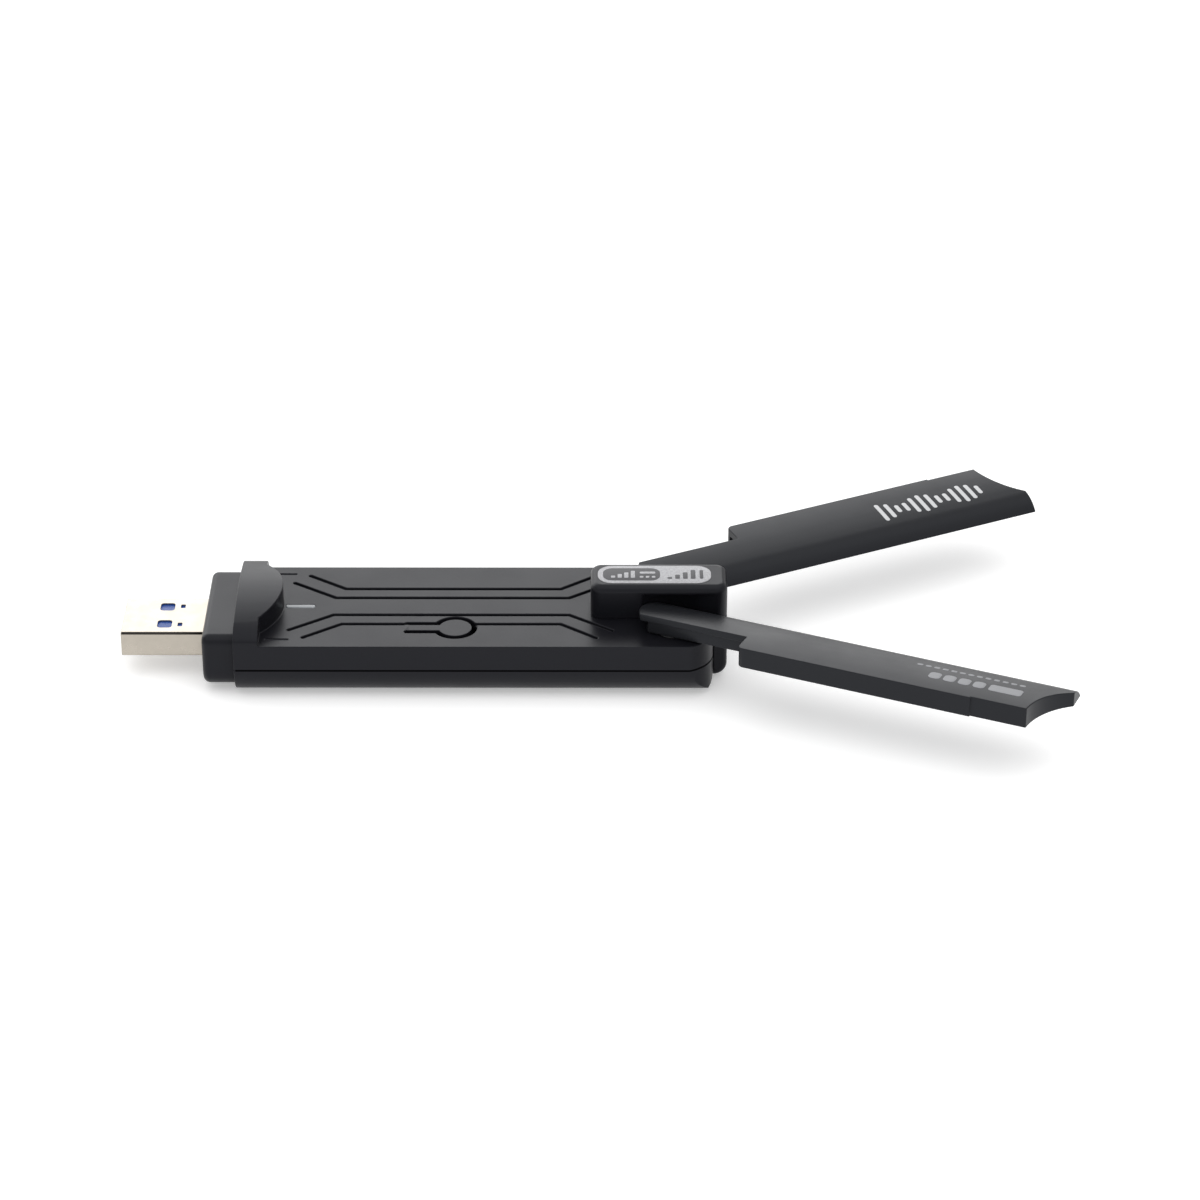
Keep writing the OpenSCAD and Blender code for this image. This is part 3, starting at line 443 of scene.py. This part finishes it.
class AdapterSizes(bpy.types.PropertyGroup):
    """Small sizes of the finished pieces, in millimetres."""

    shell_edge: FloatProperty(name="Shell Edge", description="Radius of the housing's edges, mm",
                              default=0.16, min=0.02, max=0.3)
    antenna_edge: FloatProperty(name="Antenna Edge", description="Radius of the antennas' edges, mm",
                                default=0.16, min=0.02, max=0.3)
    bridge_edge: FloatProperty(name="Bridge Edge", description="Radius of the bridge's sharp edges, mm",
                               default=0.14, min=0.02, max=0.3)
    bridge_round: FloatProperty(name="Bridge Top", description="Radius of the bridge's upper edge, mm",
                                default=1.2, min=0.4, max=1.4)
    bridge_corner: FloatProperty(name="Bridge Corner", description="Radius of the bridge's corners, mm",
                                 default=1.9, min=1.5, max=2.4)
    leg_round: FloatProperty(name="Leg Side", description="Radius of the leg's two sides, mm",
                             default=1.0, min=0.3, max=1.1)
    gap: FloatProperty(name="Parting Gap", description="Height of the gap between the shells, mm",
                       default=0.34, min=0.1, max=0.5)
    collar_round: FloatProperty(name="Collar Front", description="Radius of the collar's front edge, mm",
                                default=1.1, min=0.2, max=1.4)
    sheet: FloatProperty(name="Plug Sheet", description="Thickness of the plug's sheet metal, mm",
                         default=0.3, min=0.2, max=0.4)
    bend: FloatProperty(name="Plug Bend", description="Outer radius of the plug's bends, mm",
                        default=0.5, min=0.35, max=1.0)
    ink: FloatProperty(name="Ink Thickness", description="Thickness of printed marks, mm",
                       default=0.02, min=0.005, max=0.05)
    around: IntProperty(name="Arc Steps", description="Points on each rounded corner",
                        default=8, min=3, max=24)


class AdapterLooks(bpy.types.PropertyGroup):
    """Colours and finishes."""

    housing_black: FloatVectorProperty(name="Housing", description="Colour of the housing's plastic",
                                       subtype="COLOR", size=3, min=0, max=1, default=hex_linear(0x151519))
    antenna_black: FloatVectorProperty(name="Antennas", description="Colour of the antennas' plastic",
                                       subtype="COLOR", size=3, min=0, max=1, default=hex_linear(0x1E1F22))
    nickel: FloatVectorProperty(name="Nickel", description="Colour of the plug's plating",
                                subtype="COLOR", size=3, min=0, max=1, default=hex_linear(0xB6AFA4))
    label: FloatVectorProperty(name="Label", description="Colour of the label's film",
                               subtype="COLOR", size=3, min=0, max=1, default=hex_linear(0x9C9C9F))
    board: FloatVectorProperty(name="Board", description="Colour of the solder mask",
                               subtype="COLOR", size=3, min=0, max=1, default=hex_linear(0x14603A))
    abs_roughness: FloatProperty(name="Plastic Roughness", description="Roughness of the black plastic",
                                 subtype="FACTOR", default=0.33, min=0.1, max=0.9)
    abs_specular: FloatProperty(name="Plastic Sheen", description="Strength of the plastic's reflections",
                                subtype="FACTOR", default=0.16, min=0, max=1)


class AdapterStage(bpy.types.PropertyGroup):
    """Camera and lights."""

    azimuth: FloatProperty(name="Azimuth", description="Camera angle about the vertical",
                           subtype="ANGLE", default=math.radians(0.09))
    elevation: FloatProperty(name="Elevation", description="Camera angle above the floor",
                             subtype="ANGLE", default=math.radians(29.26))
    distance: FloatProperty(name="Distance", description="Camera distance", subtype="DISTANCE",
                            unit="LENGTH", default=0.6636, min=0.1)
    lens: FloatProperty(name="Lens", description="Focal length in millimetres", default=118.77, min=20)
    back_power: FloatProperty(name="Back Board", description="Power of the bright board behind, W",
                              default=11.0, min=0)
    top_power: FloatProperty(name="Top Softbox", description="Power of the softbox above, W",
                             default=6.0, min=0)
    table_glow: FloatProperty(name="Table Glow", description="Light that comes up through the table",
                              default=0.34, min=0)
    fill: FloatProperty(name="Fill", description="Brightness of the room", default=0.8, min=0)


# ---------------------------------------------------------------- operators


class ADAPTER_OT_housing(bpy.types.Operator):
    """Finish the two housing shells, the press button and the light bar"""

    bl_idname = "adapter.housing"
    bl_label = "Housing"

    def parting_line(self, gap):
        """Painted shade of the gap between the shells: a thin, nearly black strip carried straight along
        each side, then round the rear corner's arc, facing along the path's own normal."""
        low, high = box("bottom_shell")
        proud, deep, start_gap = 0.008, 0.1, 0.3
        centre = np.array([high[0] - CORNER_RADIUS, CORNER_MIDDLE])
        start = math.acos(min((high[1] - CORNER_MIDDLE) / CORNER_RADIUS, 1.0))
        turn = np.linspace(start, math.pi / 2, 14)
        normal = np.stack([np.sin(turn), np.cos(turn)], -1)
        straight = [[low[0] + start_gap, high[1]], [0.0, high[1]]]
        path = np.concatenate([straight, centre + CORNER_RADIUS * normal])
        normal = np.concatenate([[[0.0, 1.0]], [[0.0, 1.0]], normal])
        outer, inner = path + proud * normal, path - deep * normal
        top, bottom = PARTING_HEIGHT + gap / 2, PARTING_HEIGHT - gap / 2
        section = ((outer, top), (inner, top), (inner, bottom), (outer, bottom))
        rings = np.stack([upright(line, [height])[0] for line, height in section], axis=1)
        strips = [carry(rings * np.array([1.0, side, 1.0])) for side in (1, -1)]
        dark = finish("painted_gap_shade")
        # Reflections almost off, so that the strip shows as flat painted shade.
        dark.node_tree.nodes["Principled BSDF"].inputs["Specular IOR Level"].default_value = 0.02
        new_piece("parting_gap_painted_shade", joined(strips), "housing", dark)

    def execute(self, context):
        sizes = context.scene.adapter_sizes
        black = plastic("housing_abs_moulded")
        finish_node("top_shell", black, sizes.shell_edge)
        finish_node("bottom_shell", black, sizes.shell_edge)
        finish_node("wps_button", black, 0.1)
        self.parting_line(sizes.gap)
        # The arm grows out of the deck: a thin skin covers the joint at its root.
        low, high = box("wps_button")
        arm_side, arm_far_side = -8.1, -6.3
        skin = rounded_outline(low[0] - 0.45, low[0] + 0.3, arm_side, arm_far_side, 0.02, 0.02)
        new_piece("arm_root_skin", slab(skin, high[2] - 0.12, high[2] + 0.006, 0.01), "housing",
                  black)
        # The light bar stands 0.03 mm proud of the deck, with soft ends.
        low, high = box("light_pipe")
        finish_node("light_pipe", finish("frosted_acrylic"))
        inset, half_width, end = 0.02, 0.46, 0.3
        bar = rounded_outline(low[0] + inset, high[0] - inset, -half_width, half_width, end, end,
                              sizes.around)
        new_piece("light_bar_lens", slab(bar, high[2] - 0.3, high[2] + 0.03, 0.1), "housing",
                  finish("frosted_acrylic"))
        return {"FINISHED"}


class ADAPTER_OT_collar(bpy.types.Operator):
    """Make the collar that carries the plug"""

    bl_idname = "adapter.collar"
    bl_label = "Collar"

    def execute(self, context):
        sizes = context.scene.adapter_sizes
        low, high = box("front_collar")
        back = box("top_shell")[0][0]
        plug_low, plug_high = box("usb_shell")
        lower_corner, upper_corner = 3.0, 1.6
        play, lip = 0.05, 0.12

        def section(inset):
            return rounded_outline(low[1] + inset, high[1] - inset, low[2] + inset, high[2] - inset,
                                   lower_corner - inset, upper_corner - inset, sizes.around, 7)

        hole = rounded_outline(plug_low[1] - play, plug_high[1] + play,
                               plug_high[2] - PLUG_HEIGHT - play, plug_high[2] + play,
                               0.55, 0.55, sizes.around, 7)
        inward, rise = quarter_round(sizes.collar_round, 7)
        rings = [section(0.0), section(0.0)] + [section(inset) for inset in inward]
        places = [back, low[0] + sizes.collar_round + 0.8] + list(low[0] + sizes.collar_round - rise)
        # The front face runs from the rounded edge to the plug's hole in two flat bands.
        rim = rings[-1]
        rings += [rim * 0.6 + hole * 0.4, hole * 0.97 + rim * 0.03, hole, hole]
        places += [low[0], low[0], low[0] + lip, back]
        solid = carry(along_x(rings, places), closed=True)
        piece = new_piece("plug_collar", solid, "housing", plastic("housing_abs_moulded"),
                          "front_collar")
        soften(piece, 0.15, 50.0)
        return {"FINISHED"}


class ADAPTER_OT_plug(bpy.types.Operator):
    """Make the plug's metal shell with its latch windows, and finish the insulator and contacts"""

    bl_idname = "adapter.plug"
    bl_label = "Plug"

    def execute(self, context):
        sizes = context.scene.adapter_sizes
        metal = nickel_plate("nickel_plated_drawn_steel", context.scene.adapter_looks)
        low, high = box("usb_shell")
        top = high[2]
        bottom = top - PLUG_HEIGHT
        sheet = sizes.sheet

        def section(inset):
            radius = max(sizes.bend - inset, 0.12)
            return rounded_outline(low[1] + inset, high[1] - inset, bottom + inset, top - inset,
                                   radius, radius, sizes.around, 9)

        # The front lip is half round: t runs from the outside to the inside of the sheet.
        turn = np.radians(np.linspace(0, 180, 9))
        lip, straight = sheet / 2, low[0] + 3.0
        rings = [section(0.0), section(0.0)] + [section(inset) for inset in lip * (1 - np.cos(turn))]
        places = [high[0], straight] + list(low[0] + lip * (1 - np.sin(turn)))
        rings += [section(sheet), section(sheet)]
        places += [straight, high[0]]
        solid = carry(along_x(rings, places), closed=True)
        piece = new_piece("plug_shell", solid, "housing", metal, "usb_shell")
        # Latch windows and the small spring slots, as distance from the collar, distance from the
        # middle, length, width, corner and the sheet that they go through.
        front = box("front_collar")[0][0]
        through = 1.0
        holes = []
        for side in (-1, 1):
            for back_off, y, length, width, corner, level in (
                (6.9, 2.9, 2.4, 2.5, 0.55, top),
                (4.32, 3.1, 0.75, 1.2, 0.18, top),
                (6.9, 2.9, 2.4, 2.5, 0.55, bottom),
            ):
                x = front - back_off
                plan = rounded_outline(x - length / 2, x + length / 2, side * y - width / 2,
                                       side * y + width / 2, corner, corner, 5, 1)
                rings = upright(plan, (level - through, level + through))
                holes.append(new_piece("window_cutter", carry(rings), None, metal))
        cut(piece, holes)
        soften(piece, 0.05, 50.0, 2)
        # The seam where the drawn sheet's edges meet shows as a fine dark line along one bend.
        turn = np.radians(np.linspace(105, 160, 9))
        bend = np.stack([np.cos(turn), np.sin(turn)], -1)
        proud, sunk = 0.006, 0.02
        strip = np.concatenate([bend * (sizes.bend + proud), bend[::-1] * (sizes.bend - sunk)])
        strip += np.array([low[1] + sizes.bend, top - sizes.bend])
        seam = carry(along_x([strip, strip], [low[0] + 0.12, front + 1.0]))
        new_piece("plug_seam", seam, "housing", finish("tarnished_seam"))
        finish_node("usb_insulator", finish("moulded_blue_polymer"))
        finish_node("usb_contacts", finish("stamped_gold_plate"))
        finish_node("usb_ss_contacts", finish("stamped_gold_plate"))
        return {"FINISHED"}


class ADAPTER_OT_bridge(bpy.types.Operator):
    """Make the hinge bridge with its root pockets and rear leg, and finish its washers and screws"""

    bl_idname = "adapter.bridge"
    bl_label = "Hinge Bridge"

    def roof(self, low, high, width, deck, sizes):
        """Block with soft corners: its plan moves inwards by e (1 - cos t) and rises by
        e sin t over the upper edge."""
        inset, rise = quarter_round(sizes.bridge_round, 8)
        inset = np.concatenate([[0.0], inset])
        height = np.concatenate([[deck], high[2] - sizes.bridge_round + rise])
        corner = sizes.bridge_corner
        rings = [rounded_outline(low[0] + i, high[0] - i, i - width, width - i, corner - i, corner - i,
                                 sizes.around, 7) for i in inset]
        level = np.broadcast_to(height[:, None, None], (len(inset), len(rings[0]), 1))
        return carry(np.concatenate([np.stack(rings), level], -1))

    def leg(self, low, high, back, deck, sizes):
        """Plate behind the housing: its side view is carried across the width and shrinks by
        e (1 - cos t) over the last e of each end."""
        inset, rise = quarter_round(sizes.leg_round, 7)
        place = high[1] - sizes.leg_round + rise
        inset = np.concatenate([inset[::-1], inset])
        place = np.concatenate([-place[::-1], place])
        # The faces on the housing's side draw in by a fifth, and the outer foot is well rounded.
        slow, inner, upper, foot = 0.2, 0.3, 0.2, 2.2
        rings = [rounded_outline(back + i * slow, high[0] - i, low[2] + i, deck - i * slow, inner, upper,
                                 sizes.around, 5, foot - i) for i in inset]
        across = np.broadcast_to(place[:, None, None], (len(place), len(rings[0]), 1))
        flat = np.stack(rings)
        return carry(np.concatenate([flat[..., :1], across, flat[..., 1:]], -1))

    def pockets(self, side, pivot, deck, black):
        """Cutters for the space that an antenna's root turns in: a round one about the hinge
        and a block, turned by 22.5 degrees, whose face stops the open antenna."""
        reach, depth, stop, length, gap = 6.4, 4.65, 22.5, 14.0, 0.2
        width = 6.05
        y = side * pivot[1]
        circle = rounded_outline(pivot[0] - reach, pivot[0] + reach, y - reach, y + reach,
                                 reach - 0.001, reach - 0.001, 16, 1)
        turn = math.radians(stop)
        block = np.array([[0.0, -width], [length, -width], [length, -gap], [0.0, -gap]])
        ahead = np.array([[math.cos(turn), math.sin(turn)], [-math.sin(turn), math.cos(turn)]])
        block = (block @ ahead + pivot[:2]) * np.array([1.0, side])
        return [new_piece("pocket_cutter", carry(upright(plan, (deck - 1, deck + depth))), None, black)
                for plan in (circle, block)]

    def execute(self, context):
        sizes = context.scene.adapter_sizes
        black = plastic("housing_abs_moulded")
        low, high = box("hinge_bridge")
        deck = box("wps_button")[1][2]
        back = box("bottom_shell")[1][0]
        pivot = hinge("far")
        label_border = 1.35
        width = box("label_plate")[1][1] + label_border
        body = new_piece("bridge_block", self.roof(low, high, width, deck, sizes), "housing",
                         black, "hinge_bridge")
        cut(body, self.pockets(1, pivot, deck, black) + self.pockets(-1, pivot, deck, black))
        soften(body, sizes.bridge_edge, 50.0)
        new_piece("bridge_leg", self.leg(low, high, back, deck, sizes), "housing", black,
                  "hinge_bridge")
        finish_node("thrust_washers", finish("stamped_nylon"))
        finish_node("bridge_screws", finish("pressed_tin_plate"))
        return {"FINISHED"}


class ADAPTER_OT_label(bpy.types.Operator):
    """Make the label's film with its border, dark field, bars and dashes"""

    bl_idname = "adapter.label"
    bl_label = "Label"

    def execute(self, context):
        sizes = context.scene.adapter_sizes
        low, high = box("label_plate")
        level = high[2]
        film = metallised_film("metallised_label_film", context.scene.adapter_looks)
        radius = 2.5
        outline = rounded_outline(low[0], high[0], low[1], high[1], radius, radius, 16, 4)
        new_piece("label_film", slab(outline, level - 0.1, level, 0.03), "housing", film,
                  "label_plate")

        def mark(x, width, y, tall, corner, layers=1):
            """Printed block: left end, length, lower side and height, from the label's left end."""
            plan = rounded_outline(low[0] + x, low[0] + x + width, y, y + tall, corner, corner, 5, 3)
            return slab(plan, level - 0.01, level + sizes.ink * layers, sizes.ink / 4)

        # Dark field, four rising bars and an upright on the bare film.
        dark = [mark(0.85, 9.55, -2.1, 4.2, 1.6)]
        dark += [mark(11.6 + 1.3 * i, 0.8, -1.5, 0.6 + 0.8 * i, 0.2) for i in range(4)]
        dark += [mark(17.0, 0.6, -1.5, 3.0, 0.25)]
        new_piece("label_ink", joined(dark), "housing", finish("dark_screen_ink"),
                  "label_print")
        # Four rising bars, three dots and a dash left clear in the dark field.
        pale = [mark(2.2 + 1.1 * i, 0.7, -1.2, 0.7 + 0.55 * i, 0.15, 2) for i in range(4)]
        pale += [mark(7.0 + 1.0 * i, 0.6, -1.2, 0.6, 0.2, 2) for i in range(3)]
        pale += [mark(7.0, 2.6, 0.2, 0.7, 0.25, 2)]
        new_piece("label_bars", joined(pale), "housing", film)
        return {"FINISHED"}


def crown_height(y):
    """Height of a folded antenna's domed top at a distance y from the middle plane: one wide
    arc whose highest line is level with the housing's hump."""
    peak = box("top_shell")[1][2]
    return peak - CROWN_RADIUS + np.sqrt(CROWN_RADIUS ** 2 - y ** 2)


def crown_mark(x0, x1, y0, y1, corner, ink):
    """Printed mark on the dome: a rounded outline in three nested rings, each point lifted to the
    dome's height, with its rim just under the surface."""
    plan = rounded_outline(x0, x1, y0, y1, corner, corner, 5, 3)
    middle = np.array([(x0 + x1) / 2, (y0 + y1) / 2])
    shares = np.array([0.0, 0.0, 0.03, 0.5])
    sunk = -0.03
    heights = np.array([sunk, ink * 0.5, ink, ink])
    rings = plan[None] + (middle - plan)[None] * shares[:, None, None]
    level = crown_height(rings[..., 1]) + heights[:, None]
    return carry(np.concatenate([rings, level[..., None]], -1))


def swing(solid, side, angle):
    """Moves a mark from a folded antenna to its open place: mirrored for the near side, then
    turned about the hinge's upright axis."""
    points, faces = solid
    pivot = hinge(side)
    flip = -1.0 if side == "near" else 1.0
    turn = math.radians((angle - 180.0) * flip)
    flat = points * np.array([1.0, flip, 1.0]) - pivot
    x = flat[:, 0] * math.cos(turn) - flat[:, 1] * math.sin(turn)
    y = flat[:, 0] * math.sin(turn) + flat[:, 1] * math.cos(turn)
    moved = np.column_stack([x, y, flat[:, 2]]) + pivot
    return moved, [face[::-1] for face in faces] if flip < 0 else faces


class ADAPTER_OT_antennas(bpy.types.Operator):
    """Finish both antennas inside and out, and print their marks"""

    bl_idname = "adapter.antennas"
    bl_label = "Antennas"

    def execute(self, context):
        sizes = context.scene.adapter_sizes
        black = plastic("antenna_abs_moulded")
        for side in ("near", "far"):
            finish_node(side + "_cover", black, sizes.antenna_edge)
            finish_node(side + "_base", black, 0.1)
            finish_node(side + "_board", solder("antenna_board_mask"))
            finish_node(side + "_trace", finish("etched_copper"))
            finish_node(side + "_tail", finish("extruded_jacket"))
            finish_node(side + "_washer", finish("pressed_tin_plate"))
            finish_node(side + "_clip", finish("pressed_tin_plate"))
        # Near antenna: a long block, four short ones and a row of dashes beside them.
        near = [crown_mark(-25.4, -19.9, 4.0, 6.3, 0.5, sizes.ink)]
        near += [crown_mark(-19.2 + 2.5 * i, -17.2 + 2.5 * i, 4.0, 6.3, 0.7, sizes.ink) for i in range(4)]
        near += [crown_mark(-25.0 + 1.45 * i, -24.0 + 1.45 * i, 7.9, 8.6, 0.3, sizes.ink)
                 for i in range(13)]
        new_piece("near_marks", joined([swing(mark, "near", NEAR_ANGLE) for mark in near]),
                  "near_antenna", finish("thin_pad_ink"))
        # Far antenna: a row of level bars, whose half lengths swell and fall along the row.
        steps = np.arange(13)
        start, pitch, bar, middle = -25.2, 1.62, 0.8, 6.9
        reach = 0.55 + 1.9 * np.abs(np.sin(steps * 0.62 + 0.35))
        far = [crown_mark(start + pitch * i, start + bar + pitch * i, middle - reach[i],
                          middle + reach[i], 0.38, sizes.ink) for i in steps]
        new_piece("far_marks", joined([swing(mark, "far", FAR_ANGLE) for mark in far]),
                  "far_antenna", finish("pale_pad_ink"))
        return {"FINISHED"}


class ADAPTER_OT_electronics(bpy.types.Operator):
    """Finish the circuit board and everything on it"""

    bl_idname = "adapter.electronics"
    bl_label = "Electronics"

    def execute(self, context):
        finish_node("circuit_board", solder("main_board_mask"))
        for name, look in (
            ("shield_frame", "pressed_tin_plate"), ("shield_lid", "pressed_tin_plate"),
            ("crystal", "pressed_tin_plate"), ("wifi_chip", "moulded_epoxy"),
            ("flash_chip", "moulded_epoxy"), ("power_regulator", "moulded_epoxy"),
            ("smd_resistors", "moulded_epoxy"), ("thermal_pad", "cast_silicone"),
            ("power_inductor", "fired_ferrite"), ("smd_capacitors", "fired_ceramic"),
            ("status_led", "cast_led_resin"), ("switch_base", "moulded_nylon"),
            ("switch_plunger", "moulded_nylon"), ("coax_sockets", "stamped_gold_plate"),
            ("coax_plugs", "stamped_gold_plate"), ("lead_near", "extruded_jacket"),
            ("lead_far", "extruded_jacket"),
        ):
            finish_node(name, finish(look))
        return {"FINISHED"}


class ADAPTER_OT_stage(bpy.types.Operator):
    """Set the floor, the camera and the soft lights"""

    bl_idname = "adapter.stage"
    bl_label = "Stage"

    def softbox(self, name, place, width, height, power, lit=True):
        """A rectangular light that faces the middle of the object; with lit off it only shows
        in reflections, as a white board behind the table does."""
        light = bpy.data.lights.new(name, "AREA")
        light.shape = "RECTANGLE"
        light.size, light.size_y, light.energy = width, height, power
        holder = bpy.data.objects.new(name, light)
        bpy.context.scene.collection.objects.link(holder)
        holder.location = place
        holder.visible_diffuse = lit
        holder.rotation_mode = "QUATERNION"
        middle = Vector((0.02, 0, 0))
        holder.rotation_quaternion = (middle - Vector(place)).to_track_quat("-Z", "Y")

    def execute(self, context):
        scene = context.scene
        stage = scene.adapter_stage
        scene.view_settings.view_transform = "Standard"
        half = 3
        mesh = bpy.data.meshes.new("floor")
        mesh.from_pydata([(-half, -half, 0), (half, -half, 0), (half, half, 0), (-half, half, 0)], [],
                         [(0, 1, 2, 3)])
        table, _, shader, _ = blank("lit_white_acrylic_table", hex_linear(0xF3F3F3), 0.7, 0.0, 0.1)
        shader.inputs["Emission Color"].default_value = (1, 1, 1, 1)
        shader.inputs["Emission Strength"].default_value = stage.table_glow
        mesh.materials.append(table)
        floor = bpy.data.objects.new("floor", mesh)
        scene.collection.objects.link(floor)
        world = bpy.data.worlds.new("studio")
        world.use_nodes = True
        world.node_tree.nodes["Background"].inputs["Color"].default_value = (1, 1, 1, 1)
        world.node_tree.nodes["Background"].inputs["Strength"].default_value = stage.fill
        scene.world = world
        behind, above = (-0.4, 1.0, 0.6), (0.0, -0.15, 1.1)
        self.softbox("back_board", behind, 1.9, 0.9, stage.back_power, False)
        self.softbox("top_softbox", above, 1.8, 1.5, stage.top_power)
        lens = bpy.data.cameras.new("camera")
        lens.lens = stage.lens
        lens.sensor_width = 36
        lens.clip_start = 0.01
        camera = bpy.data.objects.new("camera", lens)
        scene.collection.objects.link(camera)
        away = Vector((math.sin(stage.azimuth) * math.cos(stage.elevation),
                       -math.cos(stage.azimuth) * math.cos(stage.elevation), math.sin(stage.elevation)))
        look_at = Vector((0.02356, 0, 0.011445))
        camera.location = look_at + away * stage.distance
        camera.rotation_mode = "QUATERNION"
        camera.rotation_quaternion = (-away).to_track_quat("-Z", "Y")
        scene.camera = camera
        return {"FINISHED"}


class ADAPTER_PT_parts(bpy.types.Panel):
    """Lists the adapter's pieces and settings"""

    bl_idname = "ADAPTER_PT_parts"
    bl_label = "USB Wi-Fi Adapter"
    bl_space_type = "VIEW_3D"
    bl_region_type = "UI"
    bl_category = "Adapter"

    def draw(self, context):
        for operator in PIECES:
            self.layout.operator(operator.bl_idname)
        for group in (context.scene.adapter_sizes, context.scene.adapter_looks, context.scene.adapter_stage):
            box = self.layout.box()
            for name in group.__annotations__:
                box.prop(group, name)


PIECES = (ADAPTER_OT_housing, ADAPTER_OT_collar, ADAPTER_OT_plug, ADAPTER_OT_bridge, ADAPTER_OT_label,
          ADAPTER_OT_antennas, ADAPTER_OT_electronics, ADAPTER_OT_stage)
GROUPS = {"adapter_sizes": AdapterSizes, "adapter_looks": AdapterLooks, "adapter_stage": AdapterStage}


def register():
    for name, group in GROUPS.items():
        bpy.utils.register_class(group)
        setattr(bpy.types.Scene, name, PointerProperty(type=group))
    for entry in PIECES + (ADAPTER_PT_parts,):
        bpy.utils.register_class(entry)


def unregister():
    for entry in reversed(PIECES + (ADAPTER_PT_parts,)):
        bpy.utils.unregister_class(entry)
    for name, group in GROUPS.items():
        delattr(bpy.types.Scene, name)
        bpy.utils.unregister_class(group)


def main():
    register()
    for entry in PIECES:
        folder, action = entry.bl_idname.split(".")
        getattr(getattr(bpy.ops, folder), action)()


if __name__ == "__main__":
    main()
